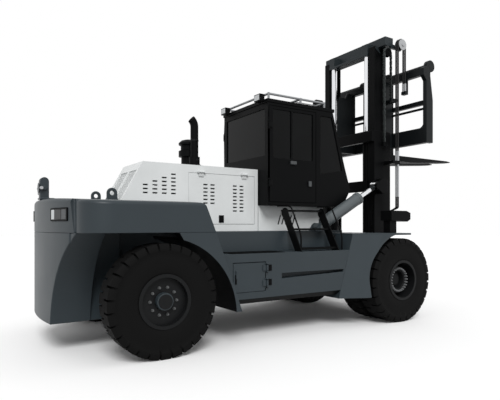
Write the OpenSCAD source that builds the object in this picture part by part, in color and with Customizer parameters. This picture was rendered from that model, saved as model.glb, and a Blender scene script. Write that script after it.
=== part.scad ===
// Heavy diesel counterbalance forklift, millimetres, +X forward, +Y left, +Z up.
// Lengths in X are set out from the rear (steer) axle; the finished truck is centred over the origin.

/* [Wheels and axles] */
// Distance between the steer axle and the drive axle
wheelbase = 4140; // [4000:10:4300]
// Outside diameter of every tyre, to the tips of the lugs
tyre_d = 1370; // [1330:10:1390]
// Width of every tyre
tyre_w = 370; // [340:5:380]
// Diameter of the rim's seat
rim_seat_d = 610; // [590:5:630]
// Thickness of the rim's barrel
rim_wall = 20; // [12:1:26]
// Centre of the outer drive tyre from the middle
drive_track = 1365; // [1350:5:1400]
// Distance between the centres of a pair of drive tyres
dual_spacing = 425; // [410:5:440]
// Centre of the steer tyre from the middle
steer_track = 1345; // [1335:5:1370]
// Kingpin from the middle
kingpin_y = 1170; // [1155:5:1180]
// Radius of the kingpin
kingpin_r = 45; // [35:1:50]
// Radius of the steer wheel's spindle
spindle_r = 60; // [50:1:65]
// Radius of the drive axle's tube
axle_tube_r = 120; // [105:1:125]
// Half width of the steer axle's arms
steer_arm_half = 80; // [60:2:85]

/* [Frame] */
// Height of the frame's top
frame_top_z = 1495; // [1480:5:1510]
// Height of the frame rails' lower edge
frame_bottom_z = 520; // [480:10:560]
// Outer face of the frame rails from the middle
rail_y = 440; // [425:5:450]
// Thickness of the frame rails
rail_wall = 40; // [25:5:45]
// Deck beyond the outer ears of the tilt cylinders
deck_margin = 43; // [25:1:60]
// Thickness of the deck plate
deck_t = 40; // [20:5:50]

/* [Side tanks] */
// Outer face of the side tanks from the middle
tank_y = 1350; // [1300:10:1400]
// Height of the tanks' top, which is a step
tank_top_z = 1200; // [1150:10:1250]
// Front end of the tanks at their foot, behind the drive axle
tank_to_drive = 1220; // [1180:10:1260]
// Size of the bevel along the tanks' lower edge
tank_bevel = 70; // [40:5:100]
// Rear edge of the battery compartment's door
battery_x = 1020; // [1010:5:1040]
// Length of the battery compartment's door
battery_w = 520; // [480:10:560]
// Lower edge of the battery compartment's door
battery_z = 680; // [660:10:720]
// Height of the battery compartment's door
battery_h = 400; // [360:10:420]
// Thickness of the battery compartment's door
battery_door_t = 30; // [20:1:40]
// Height of the long step slot
step_slot_h = 70; // [50:5:90]
// Depth of the long step slot
step_slot_depth = 120; // [80:5:160]

/* [Fenders] */
// Outer face of the front fenders from the middle
fender_y = 1550; // [1530:5:1560]
// Run of the fender's fold in front of the tank
fender_flare = 430; // [400:10:460]
// Height of the fender's top plate
fender_top_z = 1455; // [1450:5:1470]
// Thickness of the fender's top plate
fender_plate_t = 30; // [20:2:40]
// Front end of the fender's top plate from the drive axle
fender_nose = 190; // [150:10:220]
// Radius of the front wheel arch
front_arch_r = 765; // [750:5:770]
// Radius of the rear wheel arch
rear_arch_r = 1010; // [1000:5:1020]
// Thickness of the rear mudguard sheet
mudguard_t = 30; // [20:2:40]

/* [Counterweight] */
// Rearmost point behind the steer axle
tail_overhang = 1145; // [1100:5:1200]
// Height of the slab's top at its sides
slab_top_z = 1860; // [1820:10:1900]
// Crown of the slab's top in the middle
slab_crown = 60; // [30:5:80]
// Half width of the slab
slab_half = 1530; // [1500:10:1550]
// Radius of the rear face in plan
tail_r = 4000; // [3500:100:5000]
// Radius of the slab's rear corners in plan
tail_corner_r = 330; // [250:10:400]
// Lower edge of the casting between the wheels
casting_bottom_z = 375; // [350:5:420]
// Radius of the casting's hollow sides
casting_side_r = 1500; // [1420:20:1600]
// Half width of the casting at its foot
casting_foot_half = 570; // [560:5:585]

/* [Hood] */
// Half width of the hood
hood_half = 420; // [405:5:430]
// Height of the hood's top
hood_top_z = 2470; // [2400:10:2520]
// Gap between the hood and the cab
hood_gap = 15; // [8:1:30]
// Wall of the hood and of its doors
hood_wall = 30; // [20:1:40]
// Length of the service doors
hood_door_w = 1150; // [1050:10:1180]
// Height of the service doors
hood_door_h = 760; // [700:10:780]
// Radius of the exhaust pipe
exhaust_r = 60; // [45:1:70]

/* [Cab] */
// Half width of the cab
cab_half = 684; // [660:2:690]
// Height of the cab's floor
cab_floor_z = 1897; // [1880:1:1910]
// Height of the underside of the roof
cab_roof_z = 3500; // [3450:10:3550]
// Thickness of the roof
roof_t = 55; // [40:5:70]
// Wall of the cab and of its doors
cab_wall = 45; // [35:1:55]
// Rear face of the cab behind the drive axle
cab_to_drive = 2095; // [2080:1:2100]
// Greatest length of the cab
cab_l = 1755; // [1740:5:1770]
// Length of the door opening
door_w = 945; // [920:5:960]
// Thickness of the glass
glass_t = 8; // [5:1:12]

/* [Mast] */
// Rear face of the outer uprights in front of the drive axle
mast_rear = 220; // [210:5:230]
// Depth of the outer uprights
mast_depth = 420; // [400:10:440]
// Outer face of the outer uprights from the middle
mast_half = 720; // [710:2:730]
// Width of the outer uprights' flanges
mast_flange_w = 160; // [150:2:165]
// Thickness of the uprights' flanges and webs
mast_wall = 40; // [30:2:45]
// Height of the outer mast's top
mast_top_z = 3300; // [3250:10:3330]
// Height of the outer mast's foot
mast_foot_z = 280; // [260:10:320]
// Height of the inner mast's crosshead
crosshead_z = 4855; // [4800:5:4900]
// Height of the crosshead's section
crosshead_h = 160; // [140:5:180]
// Half width of the crosshead
crosshead_half = 796; // [790:2:805]
// Radius of the lift cylinder barrels
lift_barrel_r = 80; // [74:1:84]
// Radius of the lift rods
lift_rod_r = 52; // [45:1:58]

/* [Carriage and forks] */
// Half width of the carriage
carriage_half = 1300; // [1280:10:1330]
// Length of the fork blades
fork_length = 2000; // [1900:10:2100]
// Width of the forks
fork_w = 250; // [200:10:280]
// Thickness of the forks
fork_t = 110; // [90:5:120]
// Centre of each fork from the middle
fork_y = 230; // [200:10:300]
// Fork blades' top below the crosshead
fork_drop = 1885; // [1870:5:1895]
// Radius of the fork shaft
fork_shaft_r = 55; // [45:1:60]

/* [Tilt cylinders] */
// Centre of the tilt cylinders from the middle
tilt_y = 820; // [815:1:830]
// Radius of the tilt cylinder barrels
tilt_barrel_r = 100; // [90:1:105]
// Radius of the tilt rods
tilt_rod_r = 40; // [32:1:45]
// Radius of the pins of the tilt cylinders
tilt_pin_r = 35; // [30:1:38]
// Length of the barrel from its pin
tilt_barrel_l = 1030; // [990:10:1060]

/* [Hidden] */
$fn = 48;
seat_gap = 0.3;      // between round faces that seat in each other
running_gap = 5;     // between pieces that move past each other
tyre_r = tyre_d / 2;
axle_z = tyre_r;
rim_seat_r = rim_seat_d / 2;
fork_reach = 1050;   // rear face of the forks in front of the drive axle
truck_length = tail_overhang + wheelbase + fork_reach + fork_length;
rear_axle_x = tail_overhang - truck_length / 2;
drive_x = wheelbase;
cab_rear_x = drive_x - cab_to_drive;
hood_front_x = cab_rear_x - hood_gap;
tank_front_x = drive_x - tank_to_drive;
fork_top_z = crosshead_z - fork_drop;
crosshead_over = 165;  // crosshead above the outer mast when it is lowered
mast_raised = crosshead_z - mast_top_z - crosshead_over;

frame_grey = [0.24, 0.27, 0.29];
hood_white = [0.80, 0.81, 0.80];
black = [0.06, 0.06, 0.07];
dark = [0.12, 0.12, 0.13];
rubber = [0.05, 0.05, 0.05];
steel = [0.62, 0.63, 0.64];
chrome = [0.80, 0.81, 0.83];
glass = [0.25, 0.32, 0.33, 0.5];
lens = [0.85, 0.86, 0.84];

// The rear mudguard and the tank share one slanted edge, the tank and the front fender another.
slab_front_x = 674;
mudguard_rake = 0.373;
fender_rake = 0.3;
mudguard_foot_z = 470;
function mudguard_x(z) = slab_front_x + (frame_top_z - z) * mudguard_rake;
function tank_end_x(z) = tank_front_x + (z - frame_bottom_z) * fender_rake;

// The truck is set out from the rear axle and placed once.
module from_rear_axle() {
    translate([rear_axle_x, 0, 0]) children();
}

module both_sides() {
    children();
    mirror([0, 1, 0]) children();
}

// A side outline of [x, z] points, thickened from y0 to y1.
module side_plate(points, y0, y1) {
    translate([0, y1, 0]) rotate([90, 0, 0]) linear_extrude(y1 - y0) polygon(points);
}

// The children's 2-D outline in x and z, thickened from y0 to y1.
module side_profile(y0, y1) {
    translate([0, y1, 0]) rotate([90, 0, 0]) linear_extrude(y1 - y0) children();
}

module block(x0, x1, y0, y1, z0, z1) {
    translate([x0, y0, z0]) cube([x1 - x0, y1 - y0, z1 - z0]);
}

// A round bar along Y, from y0 to y1.
module cross_bar(x, z, r, y0, y1) {
    translate([x, y0, z]) rotate([-90, 0, 0]) cylinder(h = y1 - y0, r = r);
}

// A round bar between two points.
module bar(from, to, r) {
    run = to - from;
    flat = norm([run.x, run.y]);
    translate(from) rotate([0, atan2(flat, run.z), atan2(run.y, run.x)]) cylinder(h = norm(run), r = r);
}

// A hinge whose axis stands off a face: the fixed part carries the pin between two lugs, and the moving part
// turns on it.
hinge_off = 22;
hinge_pin_r = 8;
hinge_barrel_r = 16;
hinge_half = 40;

module hinge_fixed() {
    lug_half = 14;
    lug_t = 18;
    lug_z = hinge_half + running_gap;
    translate([0, 0, -lug_z - lug_t]) cylinder(h = 2 * (lug_z + lug_t), r = hinge_pin_r);
    for (z = [-lug_z - lug_t, lug_z])
        block(-lug_half, lug_half, -hinge_off - 1, lug_half, z, z + lug_t);
}

module hinge_moving(reach) {
    leaf_y0 = -hinge_barrel_r;
    leaf_y1 = -6;
    foot = 25;
    difference() {
        union() {
            translate([0, 0, -hinge_half]) cylinder(h = 2 * hinge_half, r = hinge_barrel_r);
            block(0, reach, leaf_y0, leaf_y1, -hinge_half, hinge_half);
            block(reach - foot, reach, -hinge_off - 1, leaf_y1, -hinge_half, hinge_half);
        }
        translate([0, 0, -hinge_half - 1]) cylinder(h = 2 * hinge_half + 2, r = hinge_pin_r + seat_gap);
    }
}

// Where two lines cross, each given by a point and a direction.
function crossing(p, u, q, v) =
    let (k = ((q.x - p.x) * v.y - (q.y - p.y) * v.x) / (u.x * v.y - u.y * v.x)) p + k * u;
function inward(u) = [-u.y, u.x] / norm(u);

// A convex outline that runs anticlockwise, drawn in by a wall.
function drawn_in(points, wall) = let (n = len(points)) [
    for (i = [0:n - 1])
        let (a = points[(i + n - 1) % n], b = points[i], c = points[(i + 1) % n])
            crossing(b + wall * inward(b - a), b - a, b + wall * inward(c - b), c - b)
];

// Frame
rail_rear_x = -240;
saddle_half = 160;
saddle_z = 830;
axle_pad_half = 140;
axle_pad_y0 = 370;
axle_pad_y1 = 465;
engine_bay_half = 385;
engine_bay_x0 = 330;
sill_t = 40;
tilt_pivot_x = drive_x - 1190;
tilt_pivot_z = 1560;
tilt_ear_gap = 62;
tilt_ear_t = 35;
deck_half = tilt_y + tilt_ear_gap + tilt_ear_t + deck_margin;
deck_rear_x = slab_front_x + 12;
rail_dip_x = 703;
rail_dip_run = 270;

module rail() {
    side_plate([
        [rail_rear_x, saddle_z], [rail_dip_x, saddle_z], [rail_dip_x + rail_dip_run, frame_bottom_z],
        [tank_front_x + 500, frame_bottom_z], [tank_front_x + 700, saddle_z],
        [drive_x + axle_pad_half, saddle_z],
        [drive_x - 60, frame_top_z - deck_t], [deck_rear_x, frame_top_z - deck_t],
        [deck_rear_x, frame_top_z], [rail_rear_x, frame_top_z]
    ], rail_y - rail_wall, rail_y);
}

module tilt_ear(y0) {
    difference() {
        side_plate([
            [tilt_pivot_x - 130, frame_top_z - 1], [tilt_pivot_x + 90, frame_top_z - 1],
            [tilt_pivot_x + 62, tilt_pivot_z + 30], [tilt_pivot_x + 20, tilt_pivot_z + 62],
            [tilt_pivot_x - 20, tilt_pivot_z + 62], [tilt_pivot_x - 62, tilt_pivot_z + 30]
        ], y0, y0 + tilt_ear_t);
        cross_bar(tilt_pivot_x, tilt_pivot_z, tilt_pin_r + seat_gap, y0 - 1, y0 + tilt_ear_t + 1);
    }
}

module frame() {
    saddle_l = 460;
    member_x = tank_front_x + 300;
    member_l = 120;
    color(frame_grey) from_rear_axle() {
        both_sides() rail();
        block(-saddle_half, saddle_l - saddle_half, -rail_y, rail_y, saddle_z, frame_top_z);
        block(member_x, member_x + member_l, -rail_y, rail_y, frame_bottom_z, frame_top_z - deck_t);
    }
}

// Deck plate with its side sills and the ears of the tilt cylinders
module deck() {
    deck_front_x = tank_end_x(tank_top_z);
    bay_front_x = hood_front_x - 60;
    strip_front_x = drive_x - 300;
    deck_z = frame_top_z - deck_t;
    color(frame_grey) from_rear_axle() {
        both_sides() {
            block(deck_rear_x, deck_front_x, deck_half - sill_t, deck_half, tank_top_z, frame_top_z);
            tilt_ear(tilt_y - tilt_ear_gap - tilt_ear_t);
            tilt_ear(tilt_y + tilt_ear_gap);
        }
        difference() {
            block(deck_rear_x, deck_front_x, -deck_half, deck_half, deck_z, frame_top_z);
            block(engine_bay_x0, bay_front_x, -engine_bay_half, engine_bay_half, 0, frame_top_z + 1);
        }
        block(deck_front_x - 1, strip_front_x, -rail_y, rail_y, deck_z, frame_top_z);
    }
}

// Side tanks: a fuel tank and a hydraulic tank, with the battery compartment in the right one
module tank_outline(y0, y1, foot_z) {
    side_plate([
        [mudguard_x(foot_z), foot_z], [tank_end_x(foot_z), foot_z],
        [tank_end_x(tank_top_z), tank_top_z], [mudguard_x(tank_top_z), tank_top_z]
    ], y0, y1);
}

module tank() {
    step_x0 = battery_x + battery_w + 280;
    step_x1 = tank_end_x(880) - 30;
    difference() {
        tank_outline(rail_y, tank_y, frame_bottom_z);
        rotate([90, 0, 90]) translate([tank_y, frame_bottom_z, 0]) rotate([0, 0, 45])
            linear_extrude(wheelbase) square(tank_bevel * sqrt(2), center = true);
        side_plate([
            [step_x0, 905 - step_slot_h], [step_x1, 905 - step_slot_h / 2], [step_x1, 905], [step_x0, 905]
        ], tank_y - step_slot_depth, tank_y + 1);
    }
}

module at_battery_hinges() {
    for (z = [battery_z + 110, battery_z + battery_h - 80])
        translate([battery_x + battery_w + 15, tank_y + hinge_off, z]) mirror([1, 0, 0]) children();
}

module side_tanks() {
    pocket_depth = 600;
    color(frame_grey) from_rear_axle() {
        tank();
        difference() {
            mirror([0, 1, 0]) tank();
            block(battery_x, battery_x + battery_w, -tank_y - 1, pocket_depth - tank_y, battery_z,
                battery_z + battery_h);
        }
        mirror([0, 1, 0]) at_battery_hinges() hinge_fixed();
    }
}

module battery_door() {
    hinge_x = battery_x + battery_w - running_gap;
    color(frame_grey) from_rear_axle() mirror([0, 1, 0]) {
        block(battery_x + running_gap, hinge_x, tank_y - battery_door_t, tank_y,
            battery_z + running_gap, battery_z + battery_h - running_gap);
        at_battery_hinges() hinge_moving(65);
        block(battery_x + 40, battery_x + 65, tank_y, tank_y + 16, battery_z + 190, battery_z + 300);
    }
}

// Front fenders: a flared panel behind the wheel, a top plate over it and the lamp bracket
module fender_panel() {
    foot_z = 460;
    head_z = fender_top_z - fender_plate_t;
    front_x = drive_x - 50;
    along = [fender_flare, fender_y - tank_y, 0] / norm([fender_flare, fender_y - tank_y]);
    out = cross([fender_rake, 0, 1], along) / norm(cross([fender_rake, 0, 1], along));
    up = cross(along, out);
    difference() {
        side_plate([
            [tank_end_x(foot_z), foot_z], [front_x, foot_z], [front_x, head_z], [tank_end_x(head_z), head_z]
        ], deck_half, fender_y);
        multmatrix([
            [along.x, out.x, up.x, tank_end_x(foot_z)], [along.y, out.y, up.y, tank_y],
            [along.z, out.z, up.z, foot_z]
        ]) translate([-wheelbase, 0, -wheelbase]) cube(2 * wheelbase);
    }
}

module fender() {
    plate_rear_x = tank_end_x(fender_top_z) + fender_flare / 2;
    difference() {
        fender_panel();
        cross_bar(drive_x, axle_z, front_arch_r, 0, 2 * fender_y);
    }
    translate([0, 0, fender_top_z - fender_plate_t]) linear_extrude(fender_plate_t) polygon([
        [tank_end_x(fender_top_z - fender_plate_t), deck_half],
        [tank_end_x(fender_top_z - fender_plate_t), rail_y],
        [drive_x - 110, rail_y], [drive_x - 110, tilt_y + 130], [drive_x + fender_nose, tilt_y + 130],
        [drive_x + fender_nose, fender_y],
        [tank_end_x(fender_top_z - fender_plate_t) + fender_flare, fender_y],
        [tank_end_x(fender_top_z - fender_plate_t), tank_y]
    ]);
}

module front_fenders() {
    color(frame_grey) from_rear_axle() both_sides() fender();
}

// Rear mudguards: a side panel with the wheel arch cut out and a curved sheet running inwards
mudguard_inner = 560;
mudguard_panel_y = slab_half - 170;
arch_centre = [-40, 430];

module mudguard_outline() {
    polygon([
        [slab_front_x - 500, frame_top_z], [mudguard_x(mudguard_foot_z) - 250, mudguard_foot_z],
        [mudguard_x(mudguard_foot_z), mudguard_foot_z], [slab_front_x, frame_top_z]
    ]);
}

module rear_mudguards() {
    color(frame_grey) from_rear_axle() both_sides() {
        side_profile(mudguard_panel_y, slab_half) difference() {
            mudguard_outline();
            translate(arch_centre) circle(r = rear_arch_r);
        }
        side_profile(mudguard_inner, mudguard_panel_y) intersection() {
            mudguard_outline();
            difference() {
                translate(arch_centre) circle(r = rear_arch_r + mudguard_t);
                translate(arch_centre) circle(r = rear_arch_r);
            }
        }
    }
}

// Counterweight: the slab over the steer wheels and the casting that hangs between them
hood_slot_half = hood_half + 5;
hood_foot_x = -210;
slab_rake = 0.41;
slab_peak_z = slab_top_z + slab_crown;
crown_r = (slab_half * slab_half + slab_crown * slab_crown) / (2 * slab_crown);

module tail_outline(half, corner) {
    tail_centre_x = tail_r - tail_overhang;
    corner_x = tail_centre_x - sqrt(pow(tail_r - corner, 2) - pow(half - corner, 2));
    intersection() {
        translate([tail_centre_x, 0]) circle(r = tail_r, $fn = 360);
        union() {
            translate([corner_x, -half]) square([wheelbase, 2 * half]);
            for (side = [-1, 1])
                translate([corner_x, side * (half - corner)]) circle(r = corner);
            translate([-2 * tail_overhang, corner - half])
                square([2 * tail_overhang + corner_x, 2 * (half - corner)]);
        }
    }
}

lamp_y = 845;
lamp_w = 450;
lamp_h = 150;
lamp_z = 1635;
lamp_depth = 60;

// A box let into the rear face at the tail lamp's place, standing out of it by some proud millimetres.
module tail_lamp_box(proud, grow) {
    translate([tail_r - tail_overhang, 0, lamp_z]) rotate([0, 0, -asin(lamp_y / tail_r)])
        translate([-tail_r - proud, -lamp_w / 2 - grow, -grow])
            cube([proud + lamp_depth + grow, lamp_w + 2 * grow, lamp_h + 2 * grow]);
}

module counterweight_slab() {
    lug_r = 70;
    lug_t = 40;
    color(frame_grey) from_rear_axle() {
        difference() {
            intersection() {
                translate([0, 0, frame_top_z]) linear_extrude(slab_peak_z - frame_top_z)
                    tail_outline(slab_half, tail_corner_r);
                translate([-2 * tail_overhang, 0, slab_peak_z - crown_r]) rotate([90, 0, 90])
                    cylinder(h = 2 * wheelbase, r = crown_r, $fn = 720);
            }
            side_plate([
                [slab_front_x, frame_top_z],
                [slab_front_x - (slab_peak_z - frame_top_z) * slab_rake, slab_peak_z],
                [2 * wheelbase, slab_peak_z], [2 * wheelbase, frame_top_z]
            ], -2 * slab_half, 2 * slab_half);
            block(hood_foot_x - 10, wheelbase, -hood_slot_half, hood_slot_half, 0, slab_peak_z + 1);
            both_sides() tail_lamp_box(80, 0);
        }
        for (side = [-1, 1])
            difference() {
                side_profile(side * lug_y - lug_t / 2, side * lug_y + lug_t / 2) difference() {
                    union() {
                        translate([lug_x, slab_top_z + lug_hole_z]) circle(r = lug_r);
                        translate([lug_x - lug_r, slab_top_z - 1]) square([2 * lug_r, lug_hole_z + 1]);
                    }
                    translate([lug_x, slab_top_z + lug_hole_z]) circle(r = lug_hole_r);
                }
            }
    }
}

lug_x = -295;
lug_y = 395;
lug_hole_z = 155;
lug_hole_r = 30;

module counterweight_casting() {
    casting_front_x = -620;
    neck_half = casting_foot_half - 10;
    side_centre = [casting_foot_half + casting_side_r, casting_bottom_z - 135];
    color(frame_grey) from_rear_axle() {
        intersection() {
            translate([0, 0, casting_bottom_z]) linear_extrude(frame_top_z - casting_bottom_z)
                tail_outline(slab_half - 100, tail_corner_r);
            translate([-2 * tail_overhang, 0, 0]) rotate([90, 0, 90])
                linear_extrude(2 * tail_overhang + casting_front_x) difference() {
                    translate([-slab_half, 0]) square([2 * slab_half, frame_top_z]);
                    for (side = [-1, 1])
                        translate([side * side_centre.x, side_centre.y])
                            circle(r = casting_side_r, $fn = 360);
                }
        }
        block(casting_front_x - 1, rail_rear_x, -neck_half, neck_half, casting_bottom_z, frame_top_z);
    }
}

// Hood over the engine
hood_slope_x = 127;
hood_slope_rise = 533;
hood_slope_run = 294;
hood_door_x = hood_front_x - hood_door_w - 60;
hood_door_top_z = hood_top_z - 113;
louvre_z = hood_top_z - 443;
hood_outline = [
    [hood_foot_x, frame_top_z], [hood_front_x, frame_top_z], [hood_front_x, hood_top_z],
    [hood_slope_x, hood_top_z], [hood_foot_x, hood_top_z - (hood_slope_x - hood_foot_x) * hood_slope_rise
        / hood_slope_run]
];

module louvre_slots(table, y0, y1) {
    // Columns of the table: x, lowest z, rows
    slot_w = 75;
    slot_h = 22;
    slot_pitch = 55;
    for (column = table, row = [0:column[2] - 1])
        block(column[0] - slot_w / 2, column[0] + slot_w / 2, y0, y1,
            column[1] + row * slot_pitch, column[1] + row * slot_pitch + slot_h);
}

grille_start = 45;
grille_len = 520;
grille_half = 350;
grille_mullion = 25;

module on_slope() {
    translate([hood_foot_x, 0, hood_outline[4][1]])
        rotate([0, -atan2(hood_slope_rise, hood_slope_run), 0]) children();
}

module at_hood_hinges() {
    for (x = [hood_door_x + 200, hood_door_x + hood_door_w - 200])
        translate([x, hood_half + hinge_off, hood_door_top_z + 15]) rotate([0, 90, 0]) children();
}

module hood() {
    color(hood_white) from_rear_axle() both_sides() at_hood_hinges() hinge_fixed();
    color(hood_white) from_rear_axle() difference() {
        side_plate(hood_outline, -hood_half, hood_half);
        side_plate(
            concat([[hood_foot_x + hood_wall, frame_top_z - 1], [hood_front_x - hood_wall, frame_top_z - 1]],
                [for (i = [2:4]) drawn_in(hood_outline, hood_wall)[i]]),
            hood_wall - hood_half, hood_half - hood_wall);
        both_sides() {
            block(hood_door_x, hood_door_x + hood_door_w, hood_half - hood_wall - 1, hood_half + 1,
                hood_door_top_z - hood_door_h, hood_door_top_z);
            on_slope() block(grille_start, grille_start + grille_len, grille_mullion, grille_half,
                -hood_wall - 1, 1);
            louvre_slots([for (i = [0:3]) [hood_slope_x + 36 + i * 140, louvre_z, 3 + i]],
                hood_half - hood_wall - 1, hood_half + 1);
        }
    }
}

// Expanded-metal panels: diamonds cut in staggered rows out of a sheet
mesh_pitch = [104, 65];
mesh_diamond = [41, 25];
mesh_edge = 22;
mesh_t = 8;

module mesh_row(count, offset_along, across) {
    for (i = [0:count - 1])
        translate([offset_along + i * mesh_pitch.x, across]) polygon([
            [-mesh_diamond.x, 0], [0, -mesh_diamond.y], [mesh_diamond.x, 0], [0, mesh_diamond.y]
        ]);
}

module mesh_panel(length, width) {
    along = floor((length - 2 * mesh_edge) / mesh_pitch.x);
    across = floor((width - 2 * mesh_edge) / mesh_pitch.y);
    first = [(length - (along - 1) * mesh_pitch.x) / 2, (width - (across - 1) * mesh_pitch.y) / 2];
    linear_extrude(mesh_t) difference() {
        square([length, width]);
        for (j = [0:across - 1])
            mesh_row(along, first.x, first.y + j * mesh_pitch.y);
        for (j = [0:across - 2])
            mesh_row(along - 1, first.x + mesh_pitch.x / 2, first.y + (j + 0.5) * mesh_pitch.y);
    }
}

module hood_grille() {
    color(dark) from_rear_axle() both_sides()
        on_slope() translate([grille_start, grille_mullion, mesh_t - hood_wall])
            mesh_panel(grille_len, grille_half - grille_mullion);
}

module hood_door() {
    door_gap = running_gap;
    high_z = hood_door_top_z - 454;
    low_z = hood_door_top_z - 564;
    latch_z = hood_door_top_z - 707;
    difference() {
        block(hood_door_x + door_gap, hood_door_x + hood_door_w - door_gap, hood_half - hood_wall, hood_half,
            hood_door_top_z - hood_door_h + door_gap, hood_door_top_z - door_gap);
        louvre_slots([
            [hood_door_x + 277, high_z, 6], [hood_door_x + 396, high_z, 6],
            [hood_door_x + 788, low_z, 8], [hood_door_x + 908, low_z, 8]
        ], hood_half - hood_wall - 1, hood_half + 1);
    }
    block(hood_door_x + 510, hood_door_x + 580, hood_half - 1, hood_half + 14, latch_z, latch_z + 70);
    at_hood_hinges() hinge_moving(65);
}

module hood_door_left() {
    color(hood_white) from_rear_axle() hood_door();
}

module hood_door_right() {
    color(hood_white) from_rear_axle() mirror([0, 1, 0]) hood_door();
}

// Engine and radiator, as plain masses under the hood
module engine() {
    engine_half = 300;
    engine_x0 = 480;
    engine_x1 = hood_front_x - 130;
    engine_z0 = frame_top_z - 735;
    engine_top_z = hood_top_z - 320;
    mount_y = rail_y - rail_wall;
    mount_z = frame_top_z - 595;
    mount_l = 90;
    mount_h = 100;
    radiator_x = 180;
    radiator_l = 110;
    radiator_half = hood_half - 60;
    color(dark) from_rear_axle() {
        block(engine_x0, engine_x1, -engine_half, engine_half, engine_z0, engine_top_z);
        for (x = [engine_x0 + 120, engine_x1 - 250])
            block(x, x + mount_l, -mount_y, mount_y, mount_z, mount_z + mount_h);
        block(radiator_x, radiator_x + radiator_l, -radiator_half, radiator_half, frame_top_z,
            hood_top_z - 140);
    }
}

exhaust_x = hood_front_x - 1000;
exhaust_y = -180;

module exhaust_stack() {
    elbow_r = 150;
    elbow_turn = 50;
    pipe_top_z = hood_top_z + 610;
    color(black) from_rear_axle() translate([exhaust_x, exhaust_y, 0]) {
        translate([0, 0, hood_top_z]) cylinder(h = 30, r = exhaust_r + 45);
        translate([0, 0, hood_top_z + 30]) cylinder(h = 120, r = exhaust_r + 22);
        difference() {
            union() {
                translate([0, 0, hood_top_z + 150])
                    cylinder(h = pipe_top_z - hood_top_z - 150, r = exhaust_r);
                translate([-elbow_r, 0, pipe_top_z]) rotate([90, 0, 0])
                    rotate_extrude(angle = elbow_turn) translate([elbow_r, 0]) circle(r = exhaust_r);
            }
            translate([-elbow_r, 0, pipe_top_z]) rotate([90, 0, 0])
                rotate_extrude(angle = elbow_turn + 1) translate([elbow_r, 0]) circle(r = exhaust_r - 8);
        }
    }
}

module air_intake() {
    intake_x = hood_front_x - 985;
    intake_y = 60;
    body_r = 112;
    ring_r = 152;
    color(black) from_rear_axle() translate([intake_x, intake_y, hood_top_z]) rotate_extrude() polygon([
        [0, 0], [body_r, 0], [body_r, 170], [ring_r, 180], [ring_r, 270], [body_r + 8, 285],
        [body_r + 8, 350],
        [ring_r, 365], [ring_r, 395], [ring_r - 40, 432], [ring_r - 90, 447], [0, 450]
    ]);
}

// Cab
cab_front_x = cab_rear_x + cab_l;
cab_nose = [
    [cab_front_x - 180, cab_floor_z], [cab_front_x, cab_floor_z + 303],
    [cab_front_x - 130, cab_floor_z + 683], [cab_front_x - 410, cab_roof_z]
];
cab_outline = concat([[cab_rear_x, cab_floor_z]], cab_nose, [[cab_rear_x, cab_roof_z]]);
door_x = cab_rear_x + 30;
door_z0 = cab_floor_z + cab_wall + 5;
door_z1 = cab_roof_z - 45;
window_z0 = cab_floor_z + 743;
window_z1 = cab_roof_z - 90;
front_window_half = cab_half - 90;
quarter_x = door_x + door_w + 95;

module quarter_outline() {
    polygon([
        [quarter_x, window_z0 - 200], [cab_front_x - 200, window_z0 - 120],
        [cab_front_x - 210, window_z0 - 40],
        [cab_front_x - 430, window_z1], [quarter_x, window_z1]
    ]);
}

module front_and_rear_windows() {
    front_x0 = cab_front_x - 900;
    front_x1 = cab_front_x + 100;
    rear_x0 = cab_rear_x - 145;
    rear_x1 = cab_rear_x + 355;
    low_z0 = cab_floor_z + 363;
    low_z1 = window_z0 - 80;
    block(front_x0, front_x1, -front_window_half, front_window_half, window_z0 - 10, window_z1);
    block(front_x0, front_x1, -front_window_half, front_window_half, low_z0, low_z1);
    block(rear_x0, rear_x1, -front_window_half, front_window_half, window_z0 + 40, window_z1);
}

module cab_base() {
    base_front_x = cab_front_x - 400;
    slot_z = frame_top_z + 105;
    color(hood_white) from_rear_axle() difference() {
        block(cab_rear_x, base_front_x, -hood_half, hood_half, frame_top_z, cab_floor_z);
        both_sides() for (i = [0:4])
            translate([cab_rear_x + 375 + i * 75, hood_half - 25, slot_z]) rotate([0, 18, 0])
                cube([24, 26, 200]);
    }
}

module at_cab_hinges() {
    for (z = [cab_floor_z + 353, cab_roof_z - 350])
        translate([door_x - 15, cab_half + hinge_off, z]) children();
}

module cab_shell() {
    color(black) from_rear_axle() both_sides() at_cab_hinges() hinge_fixed();
    color(black) from_rear_axle() difference() {
        side_plate(cab_outline, -cab_half, cab_half);
        side_plate(
            concat([for (i = [0:3]) drawn_in(cab_outline, cab_wall)[i]],
                [[drawn_in(cab_outline, cab_wall)[4].x, cab_roof_z + 1],
                [cab_rear_x + cab_wall, cab_roof_z + 1]]),
            cab_wall - cab_half, cab_half - cab_wall);
        front_and_rear_windows();
        both_sides() {
            block(door_x, door_x + door_w, cab_half - cab_wall - 8, cab_half + 1, door_z0, door_z1);
            side_profile(cab_half - cab_wall - 1, cab_half + 1) quarter_outline();
        }
    }
}

module cab_roof() {
    color(black) from_rear_axle()
        block(cab_rear_x - 15, cab_front_x - 380, -cab_half - 10, cab_half + 10, cab_roof_z,
            cab_roof_z + roof_t);
}

module cab_glass() {
    pane = (cab_wall - glass_t) / 2;
    color(glass) from_rear_axle() {
        intersection() {
            difference() {
                side_plate(drawn_in(cab_outline, pane), -front_window_half, front_window_half);
                side_plate(drawn_in(cab_outline, pane + glass_t), -cab_half, cab_half);
            }
            front_and_rear_windows();
        }
        both_sides() side_profile(cab_half - pane - glass_t, cab_half - pane) quarter_outline();
    }
}

door_pane_x0 = door_x + 70;
door_pane_x1 = door_x + door_w - 70;
door_bar_x = door_x + 439;

module door_windows(y0, y1) {
    block(door_pane_x0, door_bar_x - 15, y0, y1, window_z0, window_z1 - 5);
    block(door_bar_x + 15, door_pane_x1, y0, y1, window_z0, window_z1 - 5);
}

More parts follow.
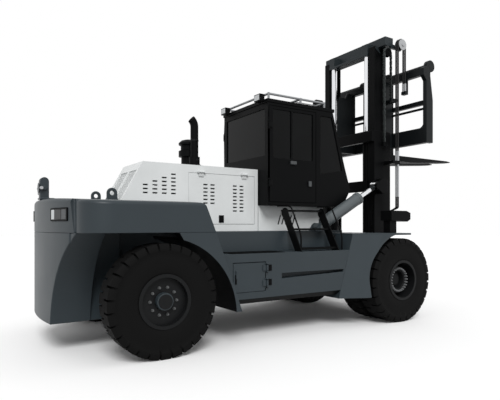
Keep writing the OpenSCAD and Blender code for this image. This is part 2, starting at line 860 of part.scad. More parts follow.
module cab_door() {
    latch_x = door_x + 775;
    latch_z = cab_floor_z + 323;
    difference() {
        block(door_x + running_gap, door_x + door_w - running_gap - 4, cab_half - cab_wall, cab_half,
            door_z0 + running_gap, door_z1 - running_gap);
        door_windows(cab_half - cab_wall - 1, cab_half + 1);
    }
    block(door_bar_x - 40, door_bar_x + 70, cab_half - 1, cab_half + 30, window_z0 - 80, window_z0 - 35);
    block(latch_x, latch_x + 50, cab_half - 1, cab_half + 25, latch_z, latch_z + 80);
    at_cab_hinges() hinge_moving(65);
}

module door_panes() {
    pane = (cab_wall - glass_t) / 2;
    door_windows(cab_half - pane - glass_t, cab_half - pane);
}

module cab_door_left() {
    color(black) from_rear_axle() cab_door();
}

module cab_door_right() {
    color(black) from_rear_axle() mirror([0, 1, 0]) cab_door();
}

module door_glass_left() {
    color(glass) from_rear_axle() door_panes();
}

module door_glass_right() {
    color(glass) from_rear_axle() mirror([0, 1, 0]) door_panes();
}

cab_inside_z = cab_floor_z + cab_wall;

module seat() {
    seat_x = cab_rear_x + 285;
    color(dark) from_rear_axle() {
        block(seat_x + 60, seat_x + 460, -210, 210, cab_inside_z, cab_inside_z + 330);
        block(seat_x, seat_x + 520, -260, 260, cab_inside_z + 330, cab_inside_z + 450);
        side_plate([
            [seat_x - 10, cab_inside_z + 450], [seat_x + 110, cab_inside_z + 450],
            [seat_x + 20, cab_inside_z + 1100], [seat_x - 80, cab_inside_z + 1100]
        ], -240, 240);
    }
}

module console() {
    wheel_r = 190;
    column = [cab_front_x - 580, 0, cab_inside_z + 690];
    desk_x = cab_front_x - 470;
    desk_half = 430;
    armrest_x = cab_rear_x + 375;
    color(dark) from_rear_axle() {
        side_plate([
            [desk_x, cab_inside_z], [desk_x + 190, cab_inside_z],
            [desk_x + 230, cab_inside_z + 380], [desk_x + 50, cab_inside_z + 480]
        ], -desk_half, desk_half);
        bar([desk_x + 90, 0, cab_inside_z + 300], column, 35);
        translate(column) rotate([0, -35, 0]) {
            rotate_extrude() translate([wheel_r, 0]) circle(r = 16);
            for (turn = [0:120:240])
                rotate([0, 0, turn]) translate([0, -16, -10]) cube([wheel_r, 32, 20]);
        }
        block(armrest_x, armrest_x + 340, -480, -330, cab_inside_z, cab_inside_z + 560);
    }
}

module roof_rail() {
    rail_r = 18;
    rail_z = cab_roof_z + roof_t + 85;
    rail_x = [cab_rear_x + 40, cab_rear_x + 675, cab_front_x - 570];
    side_y = cab_half - 40;
    color(steel) from_rear_axle() {
        both_sides() {
            bar([rail_x[0], side_y, rail_z], [rail_x[2], side_y, rail_z], rail_r);
            for (x = rail_x)
                bar([x, side_y, cab_roof_z + roof_t], [x, side_y, rail_z + rail_r], rail_r);
        }
        for (x = [rail_x[0], rail_x[2]])
            bar([x, -side_y, rail_z], [x, side_y, rail_z], rail_r);
        for (i = [1:6])
            translate([0, -side_y + i * 2 * side_y / 7, rail_z]) bar([rail_x[1], 0, 0], [rail_x[2], 0, 0], 8);
        bar([rail_x[1], -side_y, rail_z], [rail_x[1], side_y, rail_z], rail_r);
    }
}

module ladders() {
    ladder_x = [cab_rear_x + 155, cab_rear_x + 885];
    top = [deck_half - 120, frame_top_z + 355];
    foot = [deck_half + 260, tank_top_z];
    stringer_inner = 50;
    stringer_outer = 110;
    stringer_t = 16;
    head = top + 0.12 * (foot - top);
    head_r = (stringer_inner + stringer_outer) / 2;
    color(black) from_rear_axle() both_sides() {
        for (x = ladder_x)
            translate([x - stringer_t / 2, 0, 0]) rotate([90, 0, 90]) linear_extrude(stringer_t) {
                polygon([
                    head - [stringer_inner, 0], head + [stringer_outer, 0],
                    foot + [stringer_outer, 0], foot - [stringer_inner, 0]
                ]);
                translate(head + [head_r - stringer_inner, 0]) circle(r = head_r);
            }
        for (step = [0.06, 0.5, 0.94]) {
            at = top + step * (foot - top);
            block(ladder_x[0], ladder_x[1], at.x - 55, at.x + 75, at.y - 18, at.y + 12);
        }
    }
}

module lamps() {
    color(dark) from_rear_axle() {
        both_sides() {
            tail_lamp();
            head_lamp();
            translate([cab_rear_x - 15, 450, cab_roof_z + 20]) translate([-90, 0, 0]) cube([90, 160, 110]);
            translate([cab_front_x - 470, 380, cab_roof_z + roof_t]) {
                cylinder(h = 60, r = 20);
                translate([-60, 0, 130]) rotate([0, 90, 0]) cylinder(h = 110, r = 85);
            }
        }
    }
}

module tail_lamp() {
    tail_lamp_box(6, -seat_gap);
}

// Tow coupling on the counterweight: a housing with its pin, and a short jaw that opens to the rear
module tow_coupling() {
    coupling_x = 70 - tail_overhang;
    housing_half = 55;
    foot_z = slab_peak_z;
    pin_z = foot_z + 150;
    color(black) from_rear_axle() {
        block(coupling_x - 62, coupling_x + 120, -90, 90, foot_z, foot_z + 22);
        side_profile(-housing_half, housing_half) {
            translate([coupling_x - housing_half, foot_z + 20]) square([2 * housing_half, 220]);
            translate([coupling_x, foot_z + 239]) circle(r = housing_half);
        }
        translate([coupling_x - housing_half + 1, 0, pin_z]) rotate([0, -90, 0])
            cylinder(h = 15, r1 = 40, r2 = 70);
        cross_bar(coupling_x, pin_z, 28, -housing_half - 25, housing_half + 25);
    }
}

module head_lamp() {
    lamp_x = drive_x - 20;
    block(lamp_x + 20, lamp_x + 180, 1130, 1270, fender_top_z, fender_top_z + 210);
    side_plate([
        [lamp_x, fender_top_z + 210], [lamp_x + 400, fender_top_z + 190], [lamp_x + 480, fender_top_z + 230],
        [lamp_x + 480, fender_top_z + 340], [lamp_x + 380, fender_top_z + 375], [lamp_x, fender_top_z + 375]
    ], 1080, 1320);
}

// Drive axle
module drive_axle() {
    color(dark) from_rear_axle() {
        cross_bar(drive_x, axle_z, axle_tube_r, -drive_track + 230, drive_track - 230);
        translate([drive_x, 0, axle_z]) rotate([0, 90, 0]) translate([0, 0, -260]) cylinder(h = 360, r = 270);
        both_sides() block(drive_x - axle_pad_half, drive_x + axle_pad_half, axle_pad_y0, axle_pad_y1,
            axle_z, saddle_z);
    }
}

// Tyres and wheels, set out along the axle from the tyre's own middle. Cross grooves cut each shoulder of the
// tread into blocks, half a pitch out of step with the other shoulder; a band along the middle stays whole.
groove_count = 14;
groove_w = 36;
groove_depth = 45;
tread_band_half = 28;

module shoulder_grooves() {
    for (i = [0:groove_count - 1])
        rotate([0, 0, (i + 0.5) * 360 / groove_count])
            translate([tyre_r - groove_depth, -groove_w / 2, tread_band_half])
                cube([2 * groove_depth, groove_w, tyre_w]);
}

module tyre() {
    bead_half = tyre_w / 2 - 30;
    tread_half = tyre_w / 2 - 22;
    bulge_r = (rim_seat_r + tyre_r) / 2;
    rotate([-90, 0, 0]) difference() {
        rotate_extrude($fn = 40) polygon([
            [rim_seat_r + seat_gap, -bead_half], [bulge_r, -tyre_w / 2], [tyre_r, -tread_half],
            [tyre_r, tread_half], [bulge_r, tyre_w / 2], [rim_seat_r + seat_gap, bead_half]
        ]);
        shoulder_grooves();
        mirror([0, 0, 1]) rotate([0, 0, 180 / groove_count]) shoulder_grooves();
    }
}

module rim_ring() {
    lip = 22;
    half = tyre_w / 2 - 5;
    seat_half = tyre_w / 2 - 30;
    rotate([-90, 0, 0]) rotate_extrude($fn = 96) polygon([
        [rim_seat_r - rim_wall, -half], [rim_seat_r + lip, -half], [rim_seat_r + lip, -half + 10],
        [rim_seat_r, -seat_half], [rim_seat_r, seat_half], [rim_seat_r + lip, half - 10],
        [rim_seat_r + lip, half], [rim_seat_r - rim_wall, half]
    ]);
}

module drive_tyres() {
    translate([drive_x, drive_track, axle_z]) tyre();
    translate([drive_x, drive_track - dual_spacing, axle_z]) tyre();
}

module drive_wheel() {
    inner_y = drive_track - dual_spacing;
    disc_y0 = inner_y + tyre_w / 2 - 10;
    disc_y1 = drive_track - tyre_w / 2 + 40;
    hub_y0 = inner_y - tyre_w / 2 + 45;
    hub_r = 225;
    hub_end_y = disc_y1 + 60;
    translate([drive_x, drive_track, axle_z]) rim_ring();
    translate([drive_x, inner_y, axle_z]) rim_ring();
    difference() {
        union() {
            cross_bar(drive_x, axle_z, rim_seat_r - rim_wall + 1, disc_y0, disc_y1);
            cross_bar(drive_x, axle_z, hub_r, hub_y0, hub_end_y);
            cross_bar(drive_x, axle_z, hub_r - 45, hub_end_y, hub_end_y + 60);
            cross_bar(drive_x, axle_z, 90, hub_end_y + 60, hub_end_y + 95);
        }
        cross_bar(drive_x, axle_z, axle_tube_r + seat_gap, hub_y0 - 1, drive_track - 225);
    }
}

module drive_tyres_left() {
    color(rubber) from_rear_axle() drive_tyres();
}

module drive_tyres_right() {
    color(rubber) from_rear_axle() mirror([0, 1, 0]) drive_tyres();
}

module drive_wheel_left() {
    color(dark) from_rear_axle() drive_wheel();
}

module drive_wheel_right() {
    color(dark) from_rear_axle() mirror([0, 1, 0]) drive_wheel();
}

// Steer axle: a box beam bolted up to the frame's saddle, with a yoke for each knuckle
yoke_half = 190;
knuckle_half = 115;

module steer_axle() {
    box_half_y = 520;
    yoke_y = kingpin_y - 135;
    color(dark) from_rear_axle() {
        block(-saddle_half, saddle_half, -box_half_y, box_half_y, axle_z - 130, saddle_z);
        both_sides() difference() {
            union() {
                block(-steer_arm_half, steer_arm_half, box_half_y - 1, yoke_y, axle_z - 110, axle_z + 110);
                block(-steer_arm_half, steer_arm_half, yoke_y, yoke_y + 45, axle_z - yoke_half,
                    axle_z + yoke_half);
                for (z = [axle_z - yoke_half, axle_z + knuckle_half + running_gap])
                    translate([0, 0, z]) linear_extrude(yoke_half - knuckle_half - running_gap) {
                        translate([0, kingpin_y]) circle(r = steer_arm_half);
                        translate([-steer_arm_half, yoke_y]) square([2 * steer_arm_half, kingpin_y - yoke_y]);
                    }
            }
            translate([0, kingpin_y, axle_z - yoke_half - 1])
                cylinder(h = 2 * yoke_half + 2, r = kingpin_r + seat_gap);
        }
    }
}

spindle_end_y = steer_track + 85;
steer_hub_y = kingpin_y + 110;

module knuckle() {
    translate([0, kingpin_y, axle_z - yoke_half]) cylinder(h = 2 * yoke_half, r = kingpin_r);
    translate([0, kingpin_y, axle_z - knuckle_half]) cylinder(h = 2 * knuckle_half, r = 72);
    cross_bar(0, axle_z, 100, kingpin_y + 55, steer_hub_y - running_gap);
    cross_bar(0, axle_z, spindle_r, kingpin_y, spindle_end_y);
}

module steer_wheel() {
    disc_y0 = steer_track + 60;
    disc_y1 = steer_track + 100;
    cap_r = 105;
    translate([0, steer_track, axle_z]) rim_ring();
    difference() {
        union() {
            cross_bar(0, axle_z, rim_seat_r - rim_wall + 1, disc_y0, disc_y1);
            cross_bar(0, axle_z, 140, steer_hub_y, disc_y1);
            cross_bar(0, axle_z, cap_r, disc_y1, disc_y1 + 70);
            cross_bar(0, axle_z, cap_r - 18, disc_y1 + 70, disc_y1 + 82);
        }
        cross_bar(0, axle_z, spindle_r + seat_gap, steer_hub_y - 1, spindle_end_y + seat_gap);
    }
}

module knuckle_left() {
    color(dark) from_rear_axle() knuckle();
}

module knuckle_right() {
    color(dark) from_rear_axle() mirror([0, 1, 0]) knuckle();
}

module steer_wheel_left() {
    color(dark) from_rear_axle() steer_wheel();
}

module steer_wheel_right() {
    color(dark) from_rear_axle() mirror([0, 1, 0]) steer_wheel();
}

module steer_tyre_left() {
    color(rubber) from_rear_axle() translate([0, steer_track, axle_z]) tyre();
}

module steer_tyre_right() {
    color(rubber) from_rear_axle() mirror([0, 1, 0]) translate([0, steer_track, axle_z]) tyre();
}

// Mast. Outer uprights are channels that open inwards and ride on the drive axle's tube.
mast_x0 = drive_x + mast_rear;
mast_x1 = mast_x0 + mast_depth;
lift_x = mast_x0 + 107;
lift_y = 443;
foot_plate_top = mast_foot_z + 70;
tilt_eye_x = drive_x + 130;
tilt_eye_z = tilt_pivot_z + 720;
chain_y = 760;
chain_w = 50;
chain_t = 20;
sheave_x = mast_x0 + 300;
sheave_z = crosshead_z - 115;
sheave_r = 78;
chain_anchor_z = mast_top_z - 200;
hose_y = 900;
hose_r = 16;
hose_pair = 22;
hose_pulley_x = mast_x0 + 490;
hose_pulley_z = crosshead_z + 15;
hose_pulley_r = 80;
hose_rear_x = hose_pulley_x - hose_pulley_r - hose_r - seat_gap;
hose_clamp_z = mast_top_z - 550;

module upright(x0, x1, y0, y1, wall, z0, z1) {
    translate([0, 0, z0]) linear_extrude(z1 - z0) difference() {
        translate([x0, y0]) square([x1 - x0, y1 - y0]);
        translate([x0 + wall, y0 - 1]) square([x1 - x0 - 2 * wall, y1 - y0 - wall + 1]);
    }
}

module mast_outer() {
    ring_y0 = mast_half - 120;
    ring_y1 = mast_half - 20;
    ring_r = axle_tube_r + 60;
    barrel_rear = lift_x - lift_barrel_r;
    color(black) from_rear_axle() {
        both_sides() {
            upright(mast_x0, mast_x1, mast_half - mast_flange_w, mast_half, mast_wall, mast_foot_z,
                mast_top_z);
            difference() {
                union() {
                    cross_bar(drive_x, axle_z, ring_r, ring_y0, ring_y1);
                    block(drive_x, mast_x0 + 1, ring_y0, ring_y1, axle_z - ring_r, axle_z + ring_r);
                }
                cross_bar(drive_x, axle_z, axle_tube_r + seat_gap, ring_y0 - 1, ring_y1 + 1);
            }
            difference() {
                union() {
                    block(mast_x0, mast_x0 + 120, mast_half - 1, tilt_y + tilt_ear_gap + tilt_ear_t,
                        tilt_eye_z - 130, tilt_eye_z + 130);
                    for (y = [tilt_y - tilt_ear_gap - tilt_ear_t, tilt_y + tilt_ear_gap])
                        side_plate([
                            [mast_x0 + 1, tilt_eye_z - 130], [mast_x0 + 1, tilt_eye_z + 130],
                            [tilt_eye_x, tilt_eye_z + 70], [tilt_eye_x - 60, tilt_eye_z + 40],
                            [tilt_eye_x - 60, tilt_eye_z - 40], [tilt_eye_x, tilt_eye_z - 70]
                        ], y, y + tilt_ear_t);
                }
            }
            cross_bar(tilt_eye_x, tilt_eye_z, tilt_pin_r, tilt_y - tilt_ear_gap - 1,
                tilt_y + tilt_ear_gap + 1);
            block(sheave_x - sheave_r - 60, sheave_x - sheave_r + 40, mast_half - 1,
                chain_y + chain_w / 2 + 12,
                chain_anchor_z - 80, chain_anchor_z);
        }
        block(mast_x0 - 60, mast_x0 + 1, -mast_half, mast_half, mast_top_z - 200, mast_top_z);
        block(mast_x0 - 30, mast_x0 + 1, -mast_half, mast_half, mast_foot_z, mast_foot_z + 420);
        block(mast_x0, lift_x + lift_barrel_r, -lift_y - 60, lift_y + 60, mast_foot_z, foot_plate_top);
        mirror([0, 1, 0]) {
            block(mast_x0 + 230, mast_x0 + 340, mast_half - 1, hose_y + 50, hose_clamp_z - 60, hose_clamp_z);
            for (y = [hose_y - hose_pair, hose_y + hose_pair]) {
                translate([hose_rear_x, y, hose_clamp_z - 850]) cylinder(h = 850, r = hose_r);
                bar([hose_rear_x, y, hose_clamp_z - 848],
                    [mast_x0 + mast_depth / 2, mast_half - 20, hose_clamp_z - 1000 + y - hose_y], hose_r);
            }
            block(mast_x0 + 230, hose_pulley_x - hose_pulley_r + 20, hose_y - 40, hose_y + 40,
                hose_clamp_z - 60,
                hose_clamp_z);
        }
    }
}

module cylinder_top_bore(gland_h) {
    translate([0, 0, mast_top_z - gland_h - 1]) cylinder(h = gland_h + 2, r = lift_rod_r + seat_gap);
}

module lift_barrels() {
    gland_h = 80;
    color(black) from_rear_axle() both_sides() translate([lift_x, lift_y, 0]) difference() {
        union() {
            translate([0, 0, foot_plate_top]) cylinder(h = mast_top_z - foot_plate_top, r = lift_barrel_r);
            translate([0, 0, mast_top_z - gland_h]) cylinder(h = gland_h, r = lift_barrel_r + 3);
        }
        translate([0, 0, foot_plate_top + 40])
            cylinder(h = mast_top_z - foot_plate_top - 40 - gland_h, r = lift_rod_r + 8);
        cylinder_top_bore(gland_h);
    }
}

inner_gap = 15;
inner_x0 = mast_x0 + mast_wall + inner_gap;
inner_x1 = mast_x1 - mast_wall - inner_gap;
inner_y1 = mast_half - mast_wall - inner_gap;
inner_y0 = lift_y + lift_barrel_r + 8;
inner_foot_z = mast_foot_z + 80 + mast_raised;
rod_head_z = mast_top_z + mast_raised + 27;

module mast_inner() {
    tie_z = inner_foot_z + 450;
    tie_rear_x = mast_x0 - 20;
    tie_half = mast_half - mast_flange_w - 10;
    web_y0 = inner_y1 - 65;
    crosshead_x0 = mast_x0 + 208;
    color(black) from_rear_axle() {
        both_sides() {
            translate([0, 0, inner_foot_z]) linear_extrude(crosshead_z - inner_foot_z) difference() {
                translate([inner_x0, inner_y0]) square([inner_x1 - inner_x0, inner_y1 - inner_y0]);
                for (y = [inner_y0 - 1, web_y0 + 30])
                    translate([inner_x0 + 35, y])
                        square([inner_x1 - inner_x0 - 70, y < web_y0 ? web_y0 - inner_y0 + 1 : 100]);
            }
            block(tie_rear_x, inner_x0 + 1, inner_y0, tie_half, tie_z, tie_z + 200);
            block(lift_x - 70, crosshead_x0 + 1, lift_y - 70, lift_y + 70, rod_head_z,
                crosshead_z + crosshead_h / 2);
            cross_bar(sheave_x, sheave_z, 25, inner_y1 - 60, chain_y + chain_w / 2 + 6);
        }
        block(tie_rear_x, mast_x0 + 20, -tie_half, tie_half, tie_z, tie_z + 200);
        block(crosshead_x0, crosshead_x0 + 200, -crosshead_half, crosshead_half, crosshead_z,
            crosshead_z + crosshead_h);
        mirror([0, 1, 0]) {
            block(crosshead_x0 + 150, hose_pulley_x + 30, crosshead_half - 60, crosshead_half,
                hose_pulley_z - 35,
                hose_pulley_z + 35);
            cross_bar(hose_pulley_x, hose_pulley_z, 20, crosshead_half - 30, hose_y + 60);
        }
    }
}

module lift_rods() {
    rod_foot_z = foot_plate_top + 60 + mast_raised;
    color(chrome) from_rear_axle() both_sides()
        translate([lift_x, lift_y, rod_foot_z]) cylinder(h = rod_head_z - rod_foot_z, r = lift_rod_r);
}

module mast_sheaves() {
    color(steel) from_rear_axle() {
        both_sides() difference() {
            cross_bar(sheave_x, sheave_z, sheave_r, chain_y - chain_w / 2, chain_y + chain_w / 2);
            cross_bar(sheave_x, sheave_z, 25 + seat_gap, chain_y - chain_w, chain_y + chain_w);
        }
        mirror([0, 1, 0]) difference() {
            cross_bar(hose_pulley_x, hose_pulley_z, hose_pulley_r, hose_y - 45, hose_y + 45);
            cross_bar(hose_pulley_x, hose_pulley_z, 20 + seat_gap, hose_y - 60, hose_y + 60);
        }
    }
}

chain_end_z = fork_top_z + 950;

module chains_rear() {
    color(dark) from_rear_axle() both_sides()
        block(sheave_x - sheave_r - chain_t - seat_gap, sheave_x - sheave_r - seat_gap, chain_y - chain_w / 2,
            chain_y + chain_w / 2, chain_anchor_z, sheave_z);
}

module chains_front() {
    color(dark) from_rear_axle() both_sides() {
        block(sheave_x + sheave_r + seat_gap, sheave_x + sheave_r + chain_t + seat_gap, chain_y - chain_w / 2,
            chain_y + chain_w / 2, chain_end_z, sheave_z);
        difference() {
            cross_bar(sheave_x, sheave_z, sheave_r + seat_gap + chain_t, chain_y - chain_w / 2,
                chain_y + chain_w / 2);
            cross_bar(sheave_x, sheave_z, sheave_r + seat_gap, chain_y - chain_w, chain_y + chain_w);
            block(sheave_x - 200, sheave_x + 200, 0, 2 * chain_y, sheave_z - 200, sheave_z);
        }
    }
}

module hose_rear() {
    color(rubber) from_rear_axle() mirror([0, 1, 0]) for (y = [hose_y - hose_pair, hose_y + hose_pair])
        translate([hose_rear_x, y, hose_clamp_z]) cylinder(h = hose_pulley_z - hose_clamp_z, r = hose_r);
}

hose_end_z = fork_top_z + 1070;

module hose_front() {
    bend_r = hose_pulley_r + hose_r + seat_gap;
    color(rubber) from_rear_axle() mirror([0, 1, 0]) for (y = [hose_y - hose_pair, hose_y + hose_pair]) {
        translate([hose_pulley_x + bend_r, y, hose_end_z])
            cylinder(h = hose_pulley_z - hose_end_z, r = hose_r);
        translate([hose_pulley_x, y, hose_pulley_z]) rotate([90, 0, 0])
            rotate_extrude(angle = 180) translate([bend_r, 0]) circle(r = hose_r);
    }
}

// Tilt cylinders, both on one body
tilt_run = [tilt_eye_x - tilt_pivot_x, tilt_eye_z - tilt_pivot_z];
tilt_length = norm(tilt_run);
tilt_rise = atan2(tilt_run.y, tilt_run.x);
tilt_eye_r = 60;

module along_tilt() {
    both_sides() translate([tilt_pivot_x, tilt_y, tilt_pivot_z]) rotate([0, -tilt_rise, 0]) children();
}

module tilt_barrels() {
    eye_half = tilt_ear_gap - 4;
    rod_bore = tilt_rod_r + seat_gap;
    color(steel) from_rear_axle() along_tilt() {
        cross_bar(0, 0, tilt_eye_r, -eye_half, eye_half);
        cross_bar(0, 0, tilt_pin_r, -tilt_ear_gap - tilt_ear_t, tilt_ear_gap + tilt_ear_t);
        translate([0, -40, -40]) cube([150, 80, 80]);
        rotate([0, 90, 0]) difference() {
            translate([0, 0, 120]) cylinder(h = tilt_barrel_l - 120, r = tilt_barrel_r);
            translate([0, 0, 170]) cylinder(h = tilt_barrel_l, r = rod_bore);
        }
    }
}

module tilt_rods() {
    drift = 8;
    eye_half = tilt_ear_gap - running_gap;
    rod_tail = tilt_length - 950;
    color(chrome) from_rear_axle() along_tilt() difference() {
        union() {
            rotate([0, 90, 0]) translate([0, 0, rod_tail])
                cylinder(h = tilt_length - rod_tail, r = tilt_rod_r);
            cross_bar(tilt_length, 0, tilt_pin_r + 40, -eye_half, eye_half);
        }
        cross_bar(tilt_length, 0, tilt_pin_r + drift, -tilt_y, tilt_y);
    }
}

// Carriage with its shaft, and the forks that hang on it
fork_x = drive_x + fork_reach;
carriage_x0 = fork_x - 120;
carriage_x1 = fork_x - 10;
fork_shaft_x = fork_x - 10;
fork_shaft_z = fork_top_z + 1470;
cheek_y = carriage_half - 80;
beam_z = fork_top_z + 95;
beam_h = 275;
top_beam_x = carriage_x0 - 90;
top_beam_z = fork_top_z + 1290;
top_beam_h = 130;
roller_x = (inner_x0 + inner_x1) / 2;
roller_r = (inner_x1 - inner_x0) / 2 - 35 - 10;

// The side plate that closes each end of the carriage and holds the shaft in an eye
module cheek_outline() {
    difference() {
        union() {
            polygon([
                [carriage_x0 - 10, beam_z], [fork_x + 50, beam_z], [fork_x + 50, fork_top_z + 860],
                [fork_x - 20, top_beam_z], [fork_x - 20, fork_shaft_z], [carriage_x0 + 20, fork_shaft_z],
                [top_beam_x, top_beam_z + top_beam_h], [top_beam_x, top_beam_z],
                [carriage_x0 - 10, top_beam_z - 90]
            ]);
            translate([fork_shaft_x, fork_shaft_z]) circle(r = 105);
        }
        translate([fork_shaft_x, fork_shaft_z]) circle(r = fork_shaft_r + seat_gap);
    }
}

// A fillet in y and z between the lower beam and the cheek
module window_corner(r) {
    translate([carriage_x0, 0, 0]) rotate([90, 0, 90]) linear_extrude(carriage_x1 - carriage_x0)
        translate([cheek_y - r, beam_z + beam_h]) difference() {
            translate([0, -1]) square([r + 1, r + 1]);
            translate([0, r]) circle(r = r);
        }
}

module carriage() {
    bracket_x0 = lift_x + lift_barrel_r + 13;
    bracket_y1 = inner_y0 - 20;
    bracket_y0 = bracket_y1 - 50;
    arm_x0 = mast_x1 + 20;
    arm_x1 = arm_x0 + 100;
    arm_y1 = chain_y + chain_w / 2 + 6;
    arm_h = 60;
    color(black) from_rear_axle() {
        block(carriage_x0, carriage_x1, -cheek_y - 1, cheek_y + 1, beam_z, beam_z + beam_h);
        block(top_beam_x, carriage_x0, -cheek_y - 1, cheek_y + 1, top_beam_z, top_beam_z + top_beam_h);
        block(carriage_x0 + 20, carriage_x1 - 10, -cheek_y - 1, cheek_y + 1, fork_top_z + 790,
            fork_top_z + 870);
        cross_bar(carriage_x0 + 50, fork_top_z + 720, 22, -cheek_y - 1, cheek_y + 1);
        both_sides() {
            side_profile(cheek_y, carriage_half) cheek_outline();
            window_corner(100);
            side_plate([
                [bracket_x0, beam_z], [carriage_x0 + 1, beam_z], [carriage_x0 + 1, fork_top_z + 1340],
                [arm_x0 + 60, fork_top_z + 1340], [arm_x0, fork_top_z + 1230],
                [bracket_x0 + 60, fork_top_z + 1230],
                [bracket_x0 + 40, fork_top_z + 1120], [bracket_x0, fork_top_z + 1120]
            ], bracket_y0, bracket_y1);
            for (z = [fork_top_z + 210, fork_top_z + 1080]) {
                cross_bar(roller_x, z, roller_r, inner_y0 + 5, inner_y1 - 65 - 8);
                cross_bar(bracket_x0 + 45, z, 40, bracket_y1 - 1, inner_y0 + 6);
            }
            block(arm_x0, arm_x1, bracket_y1 - 1, arm_y1, chain_end_z - arm_h, chain_end_z);
            block(sheave_x + sheave_r - 3, arm_x0 + 1, mast_half + 10, arm_y1, chain_end_z - arm_h,
                chain_end_z);
        }
        mirror([0, 1, 0]) {
            block(top_beam_x, top_beam_x + 20, hose_y - 50, hose_y + 50, hose_end_z - 60, top_beam_z + 60);
            block(hose_pulley_x + hose_pulley_r - 10, top_beam_x + 1, hose_y - 50, hose_y + 50,
                hose_end_z - 60, hose_end_z);
        }
    }
}

module fork_shaft() {
    color(steel) from_rear_axle()
        cross_bar(fork_shaft_x, fork_shaft_z, fork_shaft_r, -carriage_half, carriage_half);
}

module fork() {
    tip_t = 18;
    nose = 200;
    nose_half = fork_w / 2 - 55;
    taper_x = fork_x + fork_length * 0.35;
    eye_r = fork_shaft_r + 45;
    difference() {
        union() {
            intersection() {
                side_plate([
                    [fork_x, fork_top_z - fork_t], [taper_x, fork_top_z - fork_t],
                    [fork_x + fork_length, fork_top_z - tip_t], [fork_x + fork_length, fork_top_z],
                    [fork_x + fork_t, fork_top_z], [fork_x + fork_t, fork_shaft_z - 60],
                    [fork_x + 40, fork_shaft_z], [fork_x, fork_shaft_z - 60]
                ], fork_y - fork_w / 2, fork_y + fork_w / 2);
                translate([fork_x, fork_y, 0]) linear_extrude(fork_shaft_z + 200) polygon([
                    [0, -fork_w / 2], [fork_length - nose, -fork_w / 2], [fork_length, -nose_half],
                    [fork_length, nose_half], [fork_length - nose, fork_w / 2], [0, fork_w / 2]
                ]);
            }
            cross_bar(fork_shaft_x, fork_shaft_z, eye_r, fork_y - fork_w / 2, fork_y + fork_w / 2);
        }
        cross_bar(fork_shaft_x, fork_shaft_z, fork_shaft_r + seat_gap, 0, 2 * carriage_half);
    }
}

module fork_left() {
    color(dark) from_rear_axle() fork();
}

module fork_right() {
    color(dark) from_rear_axle() mirror([0, 1, 0]) fork();
}

frame();
deck();
side_tanks();
battery_door();
front_fenders();
rear_mudguards();
counterweight_slab();
counterweight_casting();
hood();
hood_grille();
hood_door_left();
hood_door_right();
engine();
exhaust_stack();
air_intake();
cab_base();
cab_shell();
cab_roof();
cab_glass();
cab_door_left();
cab_door_right();
door_glass_left();
door_glass_right();
seat();
console();
roof_rail();
ladders();
lamps();
tow_coupling();
drive_axle();
drive_tyres_left();
drive_tyres_right();
drive_wheel_left();
drive_wheel_right();
steer_axle();
knuckle_left();
knuckle_right();
steer_wheel_left();
steer_wheel_right();
steer_tyre_left();
steer_tyre_right();
mast_outer();
lift_barrels();
mast_inner();
lift_rods();
mast_sheaves();
chains_rear();
chains_front();
hose_rear();
hose_front();
tilt_barrels();
tilt_rods();
carriage();
fork_shaft();
fork_left();
fork_right();
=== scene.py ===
import math

import bmesh
import bpy
from mathutils import Matrix, Vector


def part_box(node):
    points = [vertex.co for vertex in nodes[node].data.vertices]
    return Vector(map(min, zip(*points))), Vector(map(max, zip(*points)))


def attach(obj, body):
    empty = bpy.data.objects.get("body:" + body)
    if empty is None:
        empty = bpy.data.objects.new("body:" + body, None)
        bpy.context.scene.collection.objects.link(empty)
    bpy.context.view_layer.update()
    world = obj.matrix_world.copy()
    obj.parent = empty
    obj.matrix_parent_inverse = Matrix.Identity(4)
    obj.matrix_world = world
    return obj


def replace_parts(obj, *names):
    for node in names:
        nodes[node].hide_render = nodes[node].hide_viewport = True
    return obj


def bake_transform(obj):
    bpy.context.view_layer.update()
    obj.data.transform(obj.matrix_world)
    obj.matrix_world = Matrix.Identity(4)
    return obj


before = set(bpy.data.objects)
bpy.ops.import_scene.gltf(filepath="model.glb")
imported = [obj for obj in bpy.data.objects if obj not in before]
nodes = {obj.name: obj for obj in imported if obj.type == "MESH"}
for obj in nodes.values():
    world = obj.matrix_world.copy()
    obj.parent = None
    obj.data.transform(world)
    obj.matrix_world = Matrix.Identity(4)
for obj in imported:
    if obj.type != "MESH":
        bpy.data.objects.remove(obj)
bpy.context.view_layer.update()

# Camera and studio: the truck stands on a pale floor in even light, seen from its rear right corner.
# The camera is level at about eye height, so the shift alone lifts the picture.
scene = bpy.context.scene
scene.view_settings.view_transform = "Standard"
steer_axle_half = 0.16
rear_axle_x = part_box("steer_axle")[0].x + steer_axle_half
camera_back, camera_right, camera_height = 2.216, 6.784, 1.585
camera_data = bpy.data.cameras.new("camera")
camera_data.lens = 34.55
camera_data.shift_y = 0.0503
camera_data.clip_end = 200
camera = bpy.data.objects.new("camera", camera_data)
scene.collection.objects.link(camera)
camera.location = (rear_axle_x - camera_back, -camera_right, camera_height)
camera.rotation_euler = (math.radians(90), 0, math.radians(-32.79))
scene.camera = camera

